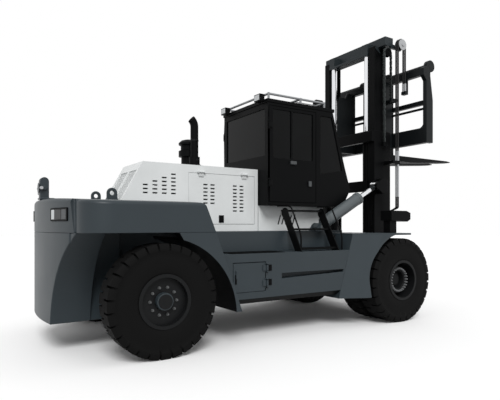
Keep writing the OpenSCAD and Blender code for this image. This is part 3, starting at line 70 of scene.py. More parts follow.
white = (1, 1, 1, 1)
world = bpy.data.worlds.new("studio")
scene.world = world
world.use_nodes = True
sky = world.node_tree.nodes
sky_join = world.node_tree.links.new
studio_light = sky["Background"]
studio_light.inputs["Color"].default_value = white
studio_light.inputs["Strength"].default_value = 0.7
seen_white = sky.new("ShaderNodeBackground")
seen_white.inputs["Color"].default_value = white
seen_white.inputs["Strength"].default_value = 1.0
light_path = sky.new("ShaderNodeLightPath")
seen_or_mirrored = sky.new("ShaderNodeMath")
seen_or_mirrored.operation = "MAXIMUM"
seen_at_all = sky.new("ShaderNodeMath")
seen_at_all.operation = "MAXIMUM"
backdrop = sky.new("ShaderNodeMixShader")
sky_join(light_path.outputs["Is Camera Ray"], seen_or_mirrored.inputs[0])
sky_join(light_path.outputs["Is Glossy Ray"], seen_or_mirrored.inputs[1])
sky_join(seen_or_mirrored.outputs["Value"], seen_at_all.inputs[0])
sky_join(light_path.outputs["Is Transmission Ray"], seen_at_all.inputs[1])
sky_join(seen_at_all.outputs["Value"], backdrop.inputs["Fac"])
sky_join(studio_light.outputs["Background"], backdrop.inputs[1])
sky_join(seen_white.outputs["Background"], backdrop.inputs[2])
sky_join(backdrop.outputs["Shader"], sky["World Output"].inputs["Surface"])

sun_data = bpy.data.lights.new("sun", "SUN")
sun_data.energy = 2.0
sun_data.angle = math.radians(25)
sun = bpy.data.objects.new("sun", sun_data)
scene.collection.objects.link(sun)
sun.rotation_euler = (math.radians(48), 0, math.radians(-25))

floor_half = 60
floor_shape = bmesh.new()
bmesh.ops.create_grid(floor_shape, x_segments=1, y_segments=1, size=floor_half)
floor_mesh = bpy.data.meshes.new("studio_floor")
floor_shape.to_mesh(floor_mesh)
floor_shape.free()
floor_paint = bpy.data.materials.new("white floor")
floor_paint.use_nodes = True
floor_nodes = floor_paint.node_tree.nodes
floor_join = floor_paint.node_tree.links.new
floor_seen = floor_nodes["Principled BSDF"]
floor_seen.inputs["Base Color"].default_value = (0.98, 0.98, 0.98, 1)
floor_seen.inputs["Roughness"].default_value = 0.9
floor_seen.inputs["Specular IOR Level"].default_value = 0.1
floor_dim = floor_nodes.new("ShaderNodeBsdfDiffuse")
floor_dim.inputs["Color"].default_value = (0.3, 0.3, 0.3, 1)
floor_path = floor_nodes.new("ShaderNodeLightPath")
floor_mix = floor_nodes.new("ShaderNodeMixShader")
floor_join(floor_path.outputs["Is Diffuse Ray"], floor_mix.inputs["Fac"])
floor_join(floor_seen.outputs["BSDF"], floor_mix.inputs[1])
floor_join(floor_dim.outputs["BSDF"], floor_mix.inputs[2])
floor_join(floor_mix.outputs["Shader"], floor_nodes["Material Output"].inputs["Surface"])
floor_mesh.materials.append(floor_paint)
floor = bpy.data.objects.new("studio_floor", floor_mesh)
scene.collection.objects.link(floor)

# Chassis steelwork: frame, deck, side tanks, front fenders and rear mudguards are welded up from plate, and
# the battery door is folded sheet. Cut edges are ground, then the whole is sprayed slate grey. The tanks'
# downward-facing faces and the mudguards' inner faces are painted black as painted shade.
def paint(name, colour, roughness, specular=0.5, cloud=0.06, peel=0.2):
    """Sprayed enamel: a faint cloud in the colour and the gloss, and a fine orange peel."""
    gloss_swing = 0.06
    material = bpy.data.materials.new(name)
    material.use_nodes = True
    made = material.node_tree.nodes
    join = material.node_tree.links.new
    shader = made["Principled BSDF"]
    shader.inputs["Specular IOR Level"].default_value = specular
    place = made.new("ShaderNodeTexCoord").outputs["Object"]
    drift = made.new("ShaderNodeTexNoise")
    drift.inputs["Scale"].default_value = 1.7
    drift.inputs["Detail"].default_value = 6
    join(place, drift.inputs["Vector"])
    shade = made.new("ShaderNodeValToRGB")
    shade.color_ramp.elements[0].position = 0.3
    shade.color_ramp.elements[1].position = 0.7
    shade.color_ramp.elements[0].color = [part * (1 - cloud) for part in colour] + [1]
    shade.color_ramp.elements[1].color = [part * (1 + cloud) for part in colour] + [1]
    join(drift.outputs["Fac"], shade.inputs["Fac"])
    join(shade.outputs["Color"], shader.inputs["Base Color"])
    gloss = made.new("ShaderNodeMapRange")
    gloss.inputs["To Min"].default_value = roughness - gloss_swing
    gloss.inputs["To Max"].default_value = roughness + gloss_swing
    join(drift.outputs["Fac"], gloss.inputs["Value"])
    join(gloss.outputs["Result"], shader.inputs["Roughness"])
    grain = made.new("ShaderNodeTexNoise")
    grain.inputs["Scale"].default_value = 180
    join(place, grain.inputs["Vector"])
    skin = made.new("ShaderNodeBump")
    skin.inputs["Strength"].default_value = peel
    skin.inputs["Distance"].default_value = 0.0004
    join(grain.outputs["Fac"], skin.inputs["Height"])
    join(skin.outputs["Normal"], shader.inputs["Normal"])
    return material


def piece(title, shape, material, body, crease=20):
    """A finished mesh on its body: faces that meet flatter than the crease are shaded as one surface."""
    mesh = bpy.data.meshes.new(title)
    shape.normal_update()
    shape.to_mesh(mesh)
    shape.free()
    for face in mesh.polygons:
        face.use_smooth = True
    mesh.set_sharp_from_angle(angle=math.radians(crease))
    mesh.materials.append(material)
    made = bpy.data.objects.new(title, mesh)
    scene.collection.objects.link(made)
    if body:
        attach(made, body)
    return made


def clean_copy(node):
    """A CAD piece's mesh, welded and with its flat faces whole."""
    shape = bmesh.new()
    shape.from_mesh(nodes[node].data)
    bmesh.ops.remove_doubles(shape, verts=shape.verts, dist=0.0001)
    bmesh.ops.dissolve_limit(shape, angle_limit=math.radians(0.2), verts=shape.verts, edges=shape.edges)
    return shape


def round_edges(shape, width, segments=2, corner=35, floor_z=-1.0, shortest=0.0):
    """Grinds the sharp edges above floor_z round, wherever there is room for the round."""
    in_line = 0.9
    room = 1.4 * width

    def roomy(edge):
        along = (edge.verts[1].co - edge.verts[0].co).normalized()
        for vert in edge.verts:
            for near in vert.link_edges:
                turn = abs((near.other_vert(vert).co - vert.co).normalized().dot(along))
                if turn < in_line and near.calc_length() < room:
                    return False
        return True

    sharp = []
    for edge in shape.edges:
        if len(edge.link_faces) != 2 or edge.calc_face_angle() < math.radians(corner):
            continue
        if edge.calc_length() < shortest or min(vert.co.z for vert in edge.verts) < floor_z:
            continue
        if roomy(edge):
            sharp.append(edge)
    bmesh.ops.bevel(shape, geom=sharp, offset=width, offset_type="OFFSET", affect="EDGES", segments=segments,
                    profile=0.5, material=-1, clamp_overlap=False)
    return shape


def keep_flats(made):
    """Shades the broad faces flat, right up to their ground edges."""
    flats = made.modifiers.new("flat faces stay flat", "WEIGHTED_NORMAL")
    flats.weight = 100
    flats.keep_sharp = True


def ground(node, width, material, body, shortest=0.0):
    """A copy with ground edges stands for its CAD piece."""
    shape = round_edges(clean_copy(node), width, shortest=shortest)
    made = piece(node + "_ground", shape, material, body, crease=50)
    keep_flats(made)
    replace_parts(made, node)
    return made


def two_tone(made, material, chosen):
    """Sprays the chosen faces of a finished piece in a second colour."""
    made.data.materials.append(material)
    for face in made.data.polygons:
        if chosen(face):
            face.material_index = 1


slate = paint("slate grey enamel", (0.026, 0.0355, 0.0415), 0.42, specular=0.3)
black = paint("black enamel", (0.0032, 0.0034, 0.0037), 0.42, specular=0.05)
facing_down = -0.3
mudguard_painted_shade_y = 1.35
ground("frame", 0.006, slate, "chassis")
ground("deck", 0.005, slate, "chassis")
ground("front_fenders", 0.005, slate, "chassis")
tanks = ground("side_tanks", 0.006, slate, "chassis")
# Tank faces that point downwards are painted black: painted shade on the tanks' sloping undersides.
two_tone(tanks, black, lambda face: face.normal.z < facing_down)
ground("battery_door", 0.004, slate, "battery_cover")
mudguards = ground("rear_mudguards", 0.005, slate, "chassis")
# The mudguards' faces lying inboard of 1.35 m from the middle are painted black: painted shade inside the
# wheel arches.
two_tone(mudguards, black, lambda face: abs(face.center.y) < mudguard_painted_shade_y)

# Tank top shade: thin ribbed black sheets on top of both tanks behind the ladders, painted shade on the strip
# of tank top that lies in shadow there. The ribs run along the truck.
def at(x, y, z):
    """A place measured from under the middle of the rear axle: forwards, to the left and up."""
    return Vector((rear_axle_x + x, y, z))


def block(shape, low, high):
    """A box between two corners."""
    low, high = Vector(map(min, low, high)), Vector(map(max, low, high))
    corners = bmesh.ops.create_cube(shape, size=1)["verts"]
    bmesh.ops.scale(shape, vec=high - low, verts=corners)
    bmesh.ops.translate(shape, vec=(low + high) / 2, verts=corners)
    return corners


def block_at(shape, x, y, z):
    """A box that spans these three pairs, measured as at() does."""
    return block(shape, at(x[0], y[0], z[0]), at(x[1], y[1], z[1]))


tank_top_z = 1.20
mat_x, mat_y = (1.03, 1.90), (0.96, 1.32)
mat_t, mat_rib_top = 0.006, 0.009
mat_ribs, mat_rib_pitch, mat_rib_w = 11, 0.03, 0.012
mat_margin = 0.01
mat_overlap = 0.001
rib_x = (mat_x[0] + mat_margin, mat_x[1] - mat_margin)
rib_z = (tank_top_z + mat_t - mat_overlap, tank_top_z + mat_rib_top)
# Black ribbed sheets on the tank tops: painted shade, not a part of the truck.
shade_sheets = bmesh.new()
for side in (-1, 1):
    block_at(shade_sheets, mat_x, [side * y for y in mat_y], (tank_top_z - mat_overlap, tank_top_z + mat_t))
    for i in range(mat_ribs):
        rib_y = side * (mat_y[0] + mat_margin + i * mat_rib_pitch)
        block_at(shade_sheets, rib_x, (rib_y, rib_y + side * mat_rib_w), rib_z)
piece("tank_top_shade_sheets", shade_sheets, black, "chassis")

# Battery door fittings: a pull handle at the door's rear edge and two hinge covers on the tank beside its
# front edge, all of pressed steel, sprayed black and screwed on.
door_face_y = -1.35
door_let_in = 0.004
pull_x, pull_z, pull_proud = (1.050, 1.072), (0.80, 0.925), 0.012
cover_x, cover_h, cover_proud = (1.588, 1.638), 0.085, 0.013
door_pull = bmesh.new()
block_at(door_pull, pull_x, (door_face_y - pull_proud, door_face_y + door_let_in), pull_z)
round_edges(door_pull, 0.003)
piece("battery_door_handle", door_pull, black, "battery_cover")
cover_y = (door_face_y - cover_proud, door_face_y + door_let_in)
hinge_covers = bmesh.new()
for hinge_z in (0.757, 0.955):
    block_at(hinge_covers, cover_x, cover_y, (hinge_z, hinge_z + cover_h))
round_edges(hinge_covers, 0.003)
piece("battery_hinge_covers", hinge_covers, black, "chassis")

# Counterweight: two iron castings, a low one round the steer axle and a crowned slab on it, filled, rubbed
# down and sprayed with the chassis. The slab's top edges are cast with a wide round.
slab_shoulder_z = 1.80
slab_crown_r, slab_edge_r = 0.045, 0.008
slab = clean_copy("counterweight_slab")
round_edges(slab, slab_crown_r, segments=4, floor_z=slab_shoulder_z)
round_edges(slab, slab_edge_r)
slab_piece = piece("slab_casting", slab, slate, "chassis", crease=50)
keep_flats(slab_piece)
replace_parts(slab_piece, "counterweight_slab")
ground("counterweight_casting", 0.010, slate, "chassis")

# Tail lamps: on each rear corner a black housing let into the slab, with a clear cell, a dark cell and a
# grey cell side by side, each a moulded lens pressed into the housing.
def lens(name, colour, roughness=0.12):
    """Moulded lens: a tinted clear face over a fine grid of prisms."""
    material = paint(name, colour, roughness, specular=0.25, cloud=0.02, peel=0)
    made = material.node_tree.nodes
    join = material.node_tree.links.new
    prisms = made.new("ShaderNodeTexVoronoi")
    prisms.inputs["Scale"].default_value = 90
    prisms.inputs["Randomness"].default_value = 0
    relief = made.new("ShaderNodeBump")
    relief.inputs["Strength"].default_value = 0.35
    relief.inputs["Distance"].default_value = 0.002
    join(made["Texture Coordinate"].outputs["Object"], prisms.inputs["Vector"])
    join(prisms.outputs["Distance"], relief.inputs["Height"])
    join(relief.outputs["Normal"], made["Principled BSDF"].inputs["Normal"])
    return material


clear_lens = lens("clear lens", (0.62, 0.64, 0.65))
dark_lens = lens("dark lens", (0.006, 0.006, 0.007), 0.3)
grey_lens = lens("grey lens", (0.05, 0.055, 0.06), 0.3)
tail_r = 4.0
tail_centre_x = 2.855
lamp_y = 0.845
lamp_turn = math.asin(lamp_y / tail_r)
lamp_low_z, lamp_high_z = 1.652, 1.768
lens_face, lens_back = -0.0075, 0.01
for title, first, last, material in (
    ("clear", -0.200, -0.115, clear_lens),
    ("dark", -0.105, 0.070, dark_lens),
    ("grey", 0.080, 0.200, grey_lens),
):
    cells = bmesh.new()
    for side in (-1, 1):
        cell = block(cells, (lens_face, side * first, lamp_low_z), (lens_back, side * last, lamp_high_z))
        round_tail = Matrix.Rotation(-side * lamp_turn, 3, "Z")
        bmesh.ops.rotate(cells, cent=(tail_r, 0, 0), matrix=round_tail, verts=cell)
        bmesh.ops.translate(cells, vec=at(tail_centre_x - tail_r, 0, 0), verts=cell)
    bmesh.ops.recalc_face_normals(cells, faces=cells.faces)
    round_edges(cells, 0.003)
    piece("tail_lamp_" + title, cells, material, "chassis")

# Tow coupling: a cast jaw bolted on top of the counterweight and sprayed with it. A zinc-plated pin lies
# across it, with a grip hanging from its left end.
def rod(shape, start, end, radius, segments=24):
    """A round bar between two points."""
    start, end = Vector(start), Vector(end)
    along = end - start
    ring = bmesh.ops.create_cone(shape, cap_ends=True, segments=segments, radius1=radius, radius2=radius,
                                 depth=along.length)["verts"]
    turn = Vector((0, 0, 1)).rotation_difference(along).to_matrix().to_4x4()
    bmesh.ops.transform(shape, matrix=Matrix.Translation((start + end) / 2) @ turn, verts=ring)
    return ring


zinc = paint("dull zinc", (0.42, 0.43, 0.44), 0.4)
ground("tow_coupling", 0.006, slate, "chassis")
pin_x, pin_z, pin_r = -1.120, 2.07, 0.020
pin_right_y, pin_left_y = -0.115, 0.135
grip_y, grip_foot_z, grip_r = 0.128, 1.99, 0.011
drop_pin = bmesh.new()
rod(drop_pin, at(pin_x, pin_right_y, pin_z), at(pin_x, pin_left_y, pin_z), pin_r, 20)
rod(drop_pin, at(pin_x, grip_y, pin_z), at(pin_x, grip_y, grip_foot_z), grip_r, 12)
piece("tow_drop_pin", drop_pin, zinc, "chassis", crease=50)

# Axles: cast steel housings bolted to the frame, and forged knuckles on kingpins at the ends of the steer
# axle, all sprayed black.
def coat(names, material):
    """CAD pieces that show as they are, in this finish."""
    for name in names:
        for part in nodes[name].material_slots:
            part.material = material


coat(("drive_axle", "steer_axle", "knuckle_left", "knuckle_right"), black)

# Wheels: pressed steel discs welded into rims, sprayed dark, each held by a ring of zinc-plated studs with
# hexagon nuts on flat washers.
wheel_dark = paint("dark wheel enamel", (0.0075, 0.008, 0.0085), 0.45, specular=0.12)
road_zinc = paint("road-stained zinc", (0.085, 0.088, 0.09), 0.5)
coat(("drive_wheel_left", "drive_wheel_right", "steer_wheel_left", "steer_wheel_right"), wheel_dark)
both_sides = (("left", 1), ("right", -1))
axle_z = 0.685
drive_x = 4.14


def nut_ring(shape, wheel_x, side, face_y, ring_r, count, turned_parts):
    """A circle of fasteners on a wheel: each part has a start and an end off the face, a radius and sides."""
    for i in range(count):
        turn = 2 * math.pi * i / count
        x = wheel_x + ring_r * math.cos(turn)
        z = axle_z + ring_r * math.sin(turn)
        for start, end, radius, sides in turned_parts:
            rod(shape, at(x, side * (face_y + start), z), at(x, side * (face_y + end), z), radius, sides)


nut_seat = -0.002
wheel_washer = (nut_seat, 0.005, 0.019, 12)
wheel_nut = (nut_seat, 0.024, 0.0155, 6)
wheel_stud = (nut_seat, 0.036, 0.009, 8)
for station, wheel_x, face_y, ring_r, count, nut_finish in (
    ("wheel", 0, 1.445, 0.168, 10, road_zinc),
    ("drive", drive_x, 1.220, 0.256, 20, zinc),
):
    for side_name, side in both_sides:
        nuts = bmesh.new()
        nut_ring(nuts, wheel_x, side, face_y, ring_r, count, (wheel_washer, wheel_nut, wheel_stud))
        piece(f"{station}_nuts_{side_name}", nuts, nut_finish, f"{station}_{side_name}")

# Hubs: turned steel covers over the steer wheel bearings, in the grey of the chassis, and on the drive axle
# dark dished hub rings, each held by a circle of zinc-plated nuts.
def turned(shape, profile, wheel_x, side):
    """A ring turned about a wheel's axle from its closed section of radii and reaches."""
    section = [shape.verts.new(at(wheel_x + radius, side * y, axle_z)) for radius, y in profile]
    outline = [shape.edges.new(pair) for pair in zip(section, section[1:] + section[:1])]
    bmesh.ops.spin(shape, geom=section + outline, cent=at(wheel_x, 0, axle_z), axis=(0, 1, 0),
                   angle=2 * math.pi, steps=48, use_merge=True)
    bmesh.ops.recalc_face_normals(shape, faces=shape.faces)


nut_zinc = paint("worn zinc", (0.17, 0.175, 0.18), 0.45)
cap_back_y, cap_face_y, cap_r = 1.44, 1.517, 0.107
hub_back_y, hub_face_y = 1.335, 1.430
hub_section = ((0.135, hub_back_y), (0.150, hub_face_y), (0.222, hub_face_y), (0.236, hub_back_y))
hub_nuts, hub_nut_ring_r = 24, 0.186
hub_nut = (nut_seat, 0.028, 0.017, 6)
hub_stud = (0.026, 0.046, 0.010, 8)
for side_name, side in both_sides:
    cap = bmesh.new()
    rod(cap, at(0, side * cap_back_y, axle_z), at(0, side * cap_face_y, axle_z), cap_r, 48)
    round_edges(cap, 0.012, segments=3)
    piece("hub_cap_" + side_name, cap, slate, "wheel_" + side_name)
    hub_ring = bmesh.new()
    turned(hub_ring, hub_section, drive_x, side)
    round_edges(hub_ring, 0.006)
    piece("hub_ring_" + side_name, hub_ring, wheel_dark, "drive_" + side_name, crease=40)
    ring_nuts = bmesh.new()
    nut_ring(ring_nuts, drive_x, side, hub_face_y, hub_nut_ring_r, hub_nuts, (hub_nut, hub_stud))
    piece("hub_ring_nuts_" + side_name, ring_nuts, nut_zinc, "drive_" + side_name)

# Tyres: bias-ply rubber with a bulged sidewall, moulded and pressed on the rims. Narrow cross grooves cut
# each shoulder of the tread into blocks, half a pitch out of step with the other shoulder.
rubber = paint("tyre rubber", (0.0045, 0.0045, 0.0045), 0.75, specular=0.08, peel=0.5)
tread_r = 0.685
groove_floor_r = 0.655
bead_r = 0.306
block_foot_r = 0.60
lift_foot_r = 0.55
shoulder_spread = 1.02
tread_blocks = 28
steps_per_block = 6
tyre_steps = tread_blocks * steps_per_block
band_half = 0.026
half_section = (
    (bead_r, 0.155), (0.322, 0.168), (0.36, 0.180), (0.44, 0.185), (0.53, 0.184), (0.595, 0.177),
    (0.630, 0.166), (groove_floor_r, 0.150), (groove_floor_r, band_half),
)
tyre = bmesh.new()
section = [tyre.verts.new((r, y, 0)) for r, y in half_section]
section += [tyre.verts.new((r, -y, 0)) for r, y in reversed(half_section)]
outline = [tyre.edges.new(pair) for pair in zip(section, section[1:] + section[:1])]
bmesh.ops.spin(tyre, geom=section + outline, cent=(0, 0, 0), axis=(0, 1, 0), angle=2 * math.pi,
               steps=tyre_steps, use_merge=True)
bmesh.ops.remove_doubles(tyre, verts=tyre.verts, dist=0.00005)
bmesh.ops.recalc_face_normals(tyre, faces=tyre.faces)


def on_block(face):
    """True on the tread and the upper shoulder, except in the grooves."""
    middle = face.calc_center_median()
    if math.hypot(middle.x, middle.z) < block_foot_r:
        return False
    if abs(middle.y) < band_half:
        return True
    step = int((math.atan2(middle.z, middle.x) % (2 * math.pi)) / (2 * math.pi) * tyre_steps)
    out_of_step = 0 if middle.y > 0 else steps_per_block // 2
    return (step + out_of_step) % steps_per_block != 0


raised = bmesh.ops.extrude_face_region(tyre, geom=[face for face in tyre.faces if on_block(face)])
for vert in raised["geom"]:
    if isinstance(vert, bmesh.types.BMVert):
        radius = math.hypot(vert.co.x, vert.co.z)
        lift = (tread_r - groove_floor_r) * (radius - lift_foot_r) / (groove_floor_r - lift_foot_r)
        vert.co.x *= (radius + lift) / radius
        vert.co.z *= (radius + lift) / radius
        vert.co.y *= shoulder_spread
bmesh.ops.recalc_face_normals(tyre, faces=tyre.faces)
tyre_mesh = bpy.data.meshes.new("tyre_pattern")
tyre.to_mesh(tyre_mesh)
tyre.free()
for kind, station, wheel_x, tracks in (
    ("steer_tyre", "wheel", 0, (1.345,)),
    ("drive_tyres", "drive", drive_x, (1.365, 0.94)),
):
    for side_name, side in both_sides:
        node = f"{kind}_{side_name}"
        fitted = bmesh.new()
        for track in tracks:
            known = len(fitted.verts)
            fitted.from_mesh(tyre_mesh)
            fitted.verts.ensure_lookup_table()
            bmesh.ops.translate(fitted, vec=at(wheel_x, side * track, axle_z), verts=fitted.verts[known:])
        made = piece(node + "_rubber", fitted, rubber, f"{station}_{side_name}", crease=30)
        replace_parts(made, node)
bpy.data.meshes.remove(tyre_mesh)

# Hood, hood doors and cab base: folded sheet steel with louvres punched in the sides, sprayed off-white.
# The doors hang on pins along their top edge, and black blocks in the cab base's slanted vents are painted
# shade.
off_white = paint("off-white enamel", (0.70, 0.72, 0.72), 0.4)
coat(("hood",), off_white)
for side_name in ("left", "right"):
    ground("hood_door_" + side_name, 0.004, off_white, "hood_flap_" + side_name, shortest=0.25)
coat(("cab_base",), off_white)
vent_count, vent_pitch = 5, 0.075
vent_first_x, vent_foot_z = 2.42, 1.56
vent_x, vent_y, vent_z = (0.001, 0.023), (0.396, 0.417), (0.001, 0.199)
vent_lean = Matrix.Rotation(math.radians(18), 3, "Y")
# Thin black blocks set into the vent slots: painted shade, so that the slots read dark.
vent_shade = bmesh.new()
for side in (-1, 1):
    for i in range(vent_count):
        vent_shade_block = block(vent_shade, (vent_x[0], side * vent_y[0], vent_z[0]),
                       (vent_x[1], side * vent_y[1], vent_z[1]))
        bmesh.ops.rotate(vent_shade, cent=(0, 0, 0), matrix=vent_lean, verts=vent_shade_block)
        bmesh.ops.translate(vent_shade, vec=at(vent_first_x + i * vent_pitch, 0, vent_foot_z), verts=vent_shade_block)
piece("base_vent_shade", vent_shade, black, "chassis")

# Hood door latches: a black moulded paddle handle on a plate, let into the lower front corner of each door
# and screwed from behind.
hood_half = 0.42
latch_plate = ((1.322, 1.408), (-0.004, 0.010), (1.622, 1.735))
latch_paddle = ((1.328, 1.402), (0.002, 0.018), (1.645, 1.725))
for side_name, side in both_sides:
    latch = bmesh.new()
    for x, proud, z in (latch_plate, latch_paddle):
        block_at(latch, x, [side * (hood_half + reach) for reach in proud], z)
    bmesh.ops.recalc_face_normals(latch, faces=latch.faces)
    round_edges(latch, 0.004)
    piece("hood_latch_" + side_name, latch, black, "hood_flap_" + side_name)

# Rear grille: two panels of expanded metal, sprayed with the hood, framed and screwed into its slope, with
# the hood's own sheet as the bar between them.
slope_foot = at(-0.21, 0, 1.859)
slope_crest = at(0.127, 0, 2.470)
slope = (slope_crest - slope_foot).normalized()
slope_out = slope.cross(Vector((0, 1, 0))).normalized()
panel_start, panel_length = 0.045, 0.520
panel_inner, panel_outer = 0.025, 0.350
panel_sink = 0.012
strand = 0.009
mesh_rows, mesh_columns = 11, 7
for side_name, side in both_sides:
    sheet = bmesh.new()
    bmesh.ops.create_grid(sheet, x_segments=mesh_rows, y_segments=mesh_columns, size=0.5)
    crossing = list(sheet.edges)
    bmesh.ops.poke(sheet, faces=sheet.faces)
    inside = [edge for edge in crossing if edge.is_valid and not edge.is_boundary]
    bmesh.ops.dissolve_edges(sheet, edges=inside, use_verts=False)
    bmesh.ops.wireframe(sheet, faces=sheet.faces, thickness=strand / panel_length, use_replace=True,
                        use_boundary=True, use_even_offset=True)
    lay = Matrix((
        (slope.x * panel_length, 0, slope_out.x * panel_length),
        (0, side * (panel_outer - panel_inner), 0),
        (slope.z * panel_length, 0, slope_out.z * panel_length),
    )).to_4x4()
    middle = slope_foot + slope * (panel_start + panel_length / 2) - slope_out * panel_sink
    middle.y = side * (panel_inner + panel_outer) / 2
    bmesh.ops.transform(sheet, matrix=Matrix.Translation(middle) @ lay, verts=sheet.verts)
    bmesh.ops.recalc_face_normals(sheet, faces=sheet.faces)
    made = piece("grille_mesh_" + side_name, sheet, off_white, "chassis")
    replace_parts(made, "hood_grille")

# Engine, exhaust and air intake: the engine and radiator are cast and dark, the exhaust is a steel stack
# with an elbow held by two band clamps, and the intake is a moulded pre-cleaner on a pipe.
coat(("engine", "exhaust_stack", "air_intake"), black)
stack_x, stack_y, stack_r = 1.03, -0.18, 0.06
band_w, band_t = 0.024, 0.004
ear_half, ear_reach = 0.012, 0.03
ear_x = (stack_x - ear_half, stack_x + ear_half)
ear_y = (stack_y - stack_r - ear_reach, stack_y - stack_r)
clamps = bmesh.new()
for clamp_z in (2.56, 2.86):
    clamp_top_z = clamp_z + band_w
    rod(clamps, at(stack_x, stack_y, clamp_z), at(stack_x, stack_y, clamp_top_z), stack_r + band_t, 32)
    block_at(clamps, ear_x, ear_y, (clamp_z, clamp_top_z))
piece("exhaust_clamps", clamps, wheel_dark, "chassis")

# Cab: a welded shell of folded sheet and tube, a roof and two doors, sprayed black. Mid grey pull handles
# and latch plates are screwed to the doors.
ground("cab_shell", 0.006, black, "chassis")
ground("cab_roof", 0.006, black, "chassis")
for side_name in ("left", "right"):
    ground("cab_door_" + side_name, 0.005, black, "door_" + side_name, shortest=0.2)
handle_grey = paint("mid grey enamel", (0.045, 0.05, 0.053), 0.4)
cab_half = 0.684
cab_pull = ((2.470, 2.588), (2.556, 2.609), 0.033)
cab_latch = ((2.846, 2.904), (2.216, 2.304), 0.028)
for side_name, side in both_sides:
    handles = bmesh.new()
    for x, z, proud in (cab_pull, cab_latch):
        block_at(handles, x, (side * cab_half, side * (cab_half + proud)), z)
    bmesh.ops.recalc_face_normals(handles, faces=handles.faces)
    round_edges(handles, 0.006)
    piece("door_handles_" + side_name, handles, handle_grey, "door_" + side_name)

# Cab panes and console: the panes are toughened glass, tinted nearly black and bonded into the shell and the
# doors. The console behind them is moulded in black.
tinted = paint("dark tinted glass", (0.0035, 0.004, 0.0043), 0.12, specular=0.5, cloud=0.3, peel=0)
tint = tinted.node_tree.nodes["Principled BSDF"].inputs
tint["Transmission Weight"].default_value = 0.3
tint["IOR"].default_value = 1.2
coat(("cab_glass", "door_glass_left", "door_glass_right"), tinted)
coat(("console",), black)

# Driver's seat: a foam cushion and a tall foam back in dark cloth, pulled over the foam and tacked below, on
# a moulded pedestal bolted to the floor.
cloth = paint("dark seat cloth", (0.012, 0.012, 0.014), 0.9, specular=0.1, peel=0.8)


def cushion(title, low, high, crown):
    """A crowned foam pad: its broad faces swell and its sides pull in between the corners."""
    pull_in = 0.5
    low, high = Vector(low), Vector(high)
    shape = bmesh.new()
    block(shape, low, high)
    bmesh.ops.subdivide_edges(shape, edges=shape.edges, cuts=6, use_grid_fill=True)
    middle = (low + high) / 2
    half = (high - low) / 2
    for vert in shape.verts:
        share = [(vert.co[i] - middle[i]) / half[i] for i in range(3)]
        swell = [math.cos(share[i] * math.pi / 2) for i in range(3)]
        for i in range(3):
            across = swell[(i + 1) % 3] * swell[(i + 2) % 3]
            vert.co[i] += share[i] * (across * crown - (1 - across) * crown * pull_in)
    made = piece(title, shape, cloth, "chassis", crease=60)
    smooth = made.modifiers.new("soft foam", "SUBSURF")
    smooth.levels = 2
    smooth.render_levels = 2
    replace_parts(made, "seat")


foam_crown = 0.012
seat_rear_x, seat_front_x, back_front_x = 2.345, 2.840, 2.445
seat_half, back_half, pedestal_half = 0.245, 0.235, 0.21
pedestal_x, pedestal_z = (2.39, 2.79), (1.942, 2.262)
seat_low_z, seat_high_z = 2.270, 2.385
back_low_z, back_high_z = 2.395, 3.030
pedestal = bmesh.new()
block_at(pedestal, pedestal_x, (-pedestal_half, pedestal_half), pedestal_z)
round_edges(pedestal, 0.03, segments=3)
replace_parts(piece("seat_pedestal", pedestal, black, "chassis"), "seat")
cushion("seat_cushion", at(seat_rear_x, -seat_half, seat_low_z), at(seat_front_x, seat_half, seat_high_z),
        foam_crown)
cushion("seat_back", at(seat_rear_x, -back_half, back_low_z), at(back_front_x, back_half, back_high_z),
        foam_crown)

# Roof rail and lamps: a zinc-plated tube rail stands on the roof on posts, with square work lamps at the
# rear corners and round ones at the front, and the head lamps stand on the fenders. Every lamp is a black
# housing with a clear lens.
rail_zinc = paint("weathered zinc", (0.25, 0.26, 0.27), 0.4)
coat(("roof_rail",), rail_zinc)
coat(("lamps",), black)
square_lamp = ((1.932, 1.945), (0.465, 0.595), (3.534, 3.616))
head_lamp = ((4.595, 4.606), (1.105, 1.295), (1.675, 1.790))
round_lamp_back_x, round_lamp_face_x = 3.375, 3.386
round_lamp_y, round_lamp_z, round_lamp_r = 0.38, 3.685, 0.072
lamp_glass = bmesh.new()
for side in (-1, 1):
    for x, y, z in (square_lamp, head_lamp):
        block_at(lamp_glass, x, [side * edge_y for edge_y in y], z)
    rod(lamp_glass, at(round_lamp_back_x, side * round_lamp_y, round_lamp_z),
        at(round_lamp_face_x, side * round_lamp_y, round_lamp_z), round_lamp_r, 32)
bmesh.ops.recalc_face_normals(lamp_glass, faces=lamp_glass.faces)
round_edges(lamp_glass, 0.003)
piece("lamp_lenses", lamp_glass, clear_lens, "chassis")

# Ladders: wide plate stringers with three steps, welded and sprayed black, and on each side two bent tube
# grab rails that run from the tank top to the cab floor.
ground("ladders", 0.004, black, "chassis")


def bent_route(corners, bend):
    """Straight runs between the corners, with each inner corner turned on a short curve."""
    bend_steps = 8
    route = [Vector(corners[0])]
    for before, corner, after in zip(corners, corners[1:], corners[2:]):
        into = corner - (corner - before).normalized() * bend
        out = corner + (after - corner).normalized() * bend
        for step in range(bend_steps + 1):
            t = step / bend_steps
            route.append(into * (1 - t) ** 2 + corner * 2 * t * (1 - t) + out * t ** 2)
    route.append(Vector(corners[-1]))
    return route


def tube(shape, corners, radius, bend, sides=12):
    """A bent tube along the corners, closed at its ends."""
    route = bent_route(corners, bend)
    curve = bpy.data.curves.new("tube route", "CURVE")
    curve.dimensions = "3D"
    curve.bevel_depth = radius
    curve.bevel_resolution = sides // 4
    curve.use_fill_caps = True
    spline = curve.splines.new("POLY")
    spline.points.add(len(route) - 1)
    for point, place in zip(spline.points, route):
        point.co = (*place, 1)
    holder = bpy.data.objects.new("tube route", curve)
    mesh = holder.to_mesh()
    shape.from_mesh(mesh)
    holder.to_mesh_clear()
    bpy.data.objects.remove(holder)
    bpy.data.curves.remove(curve)


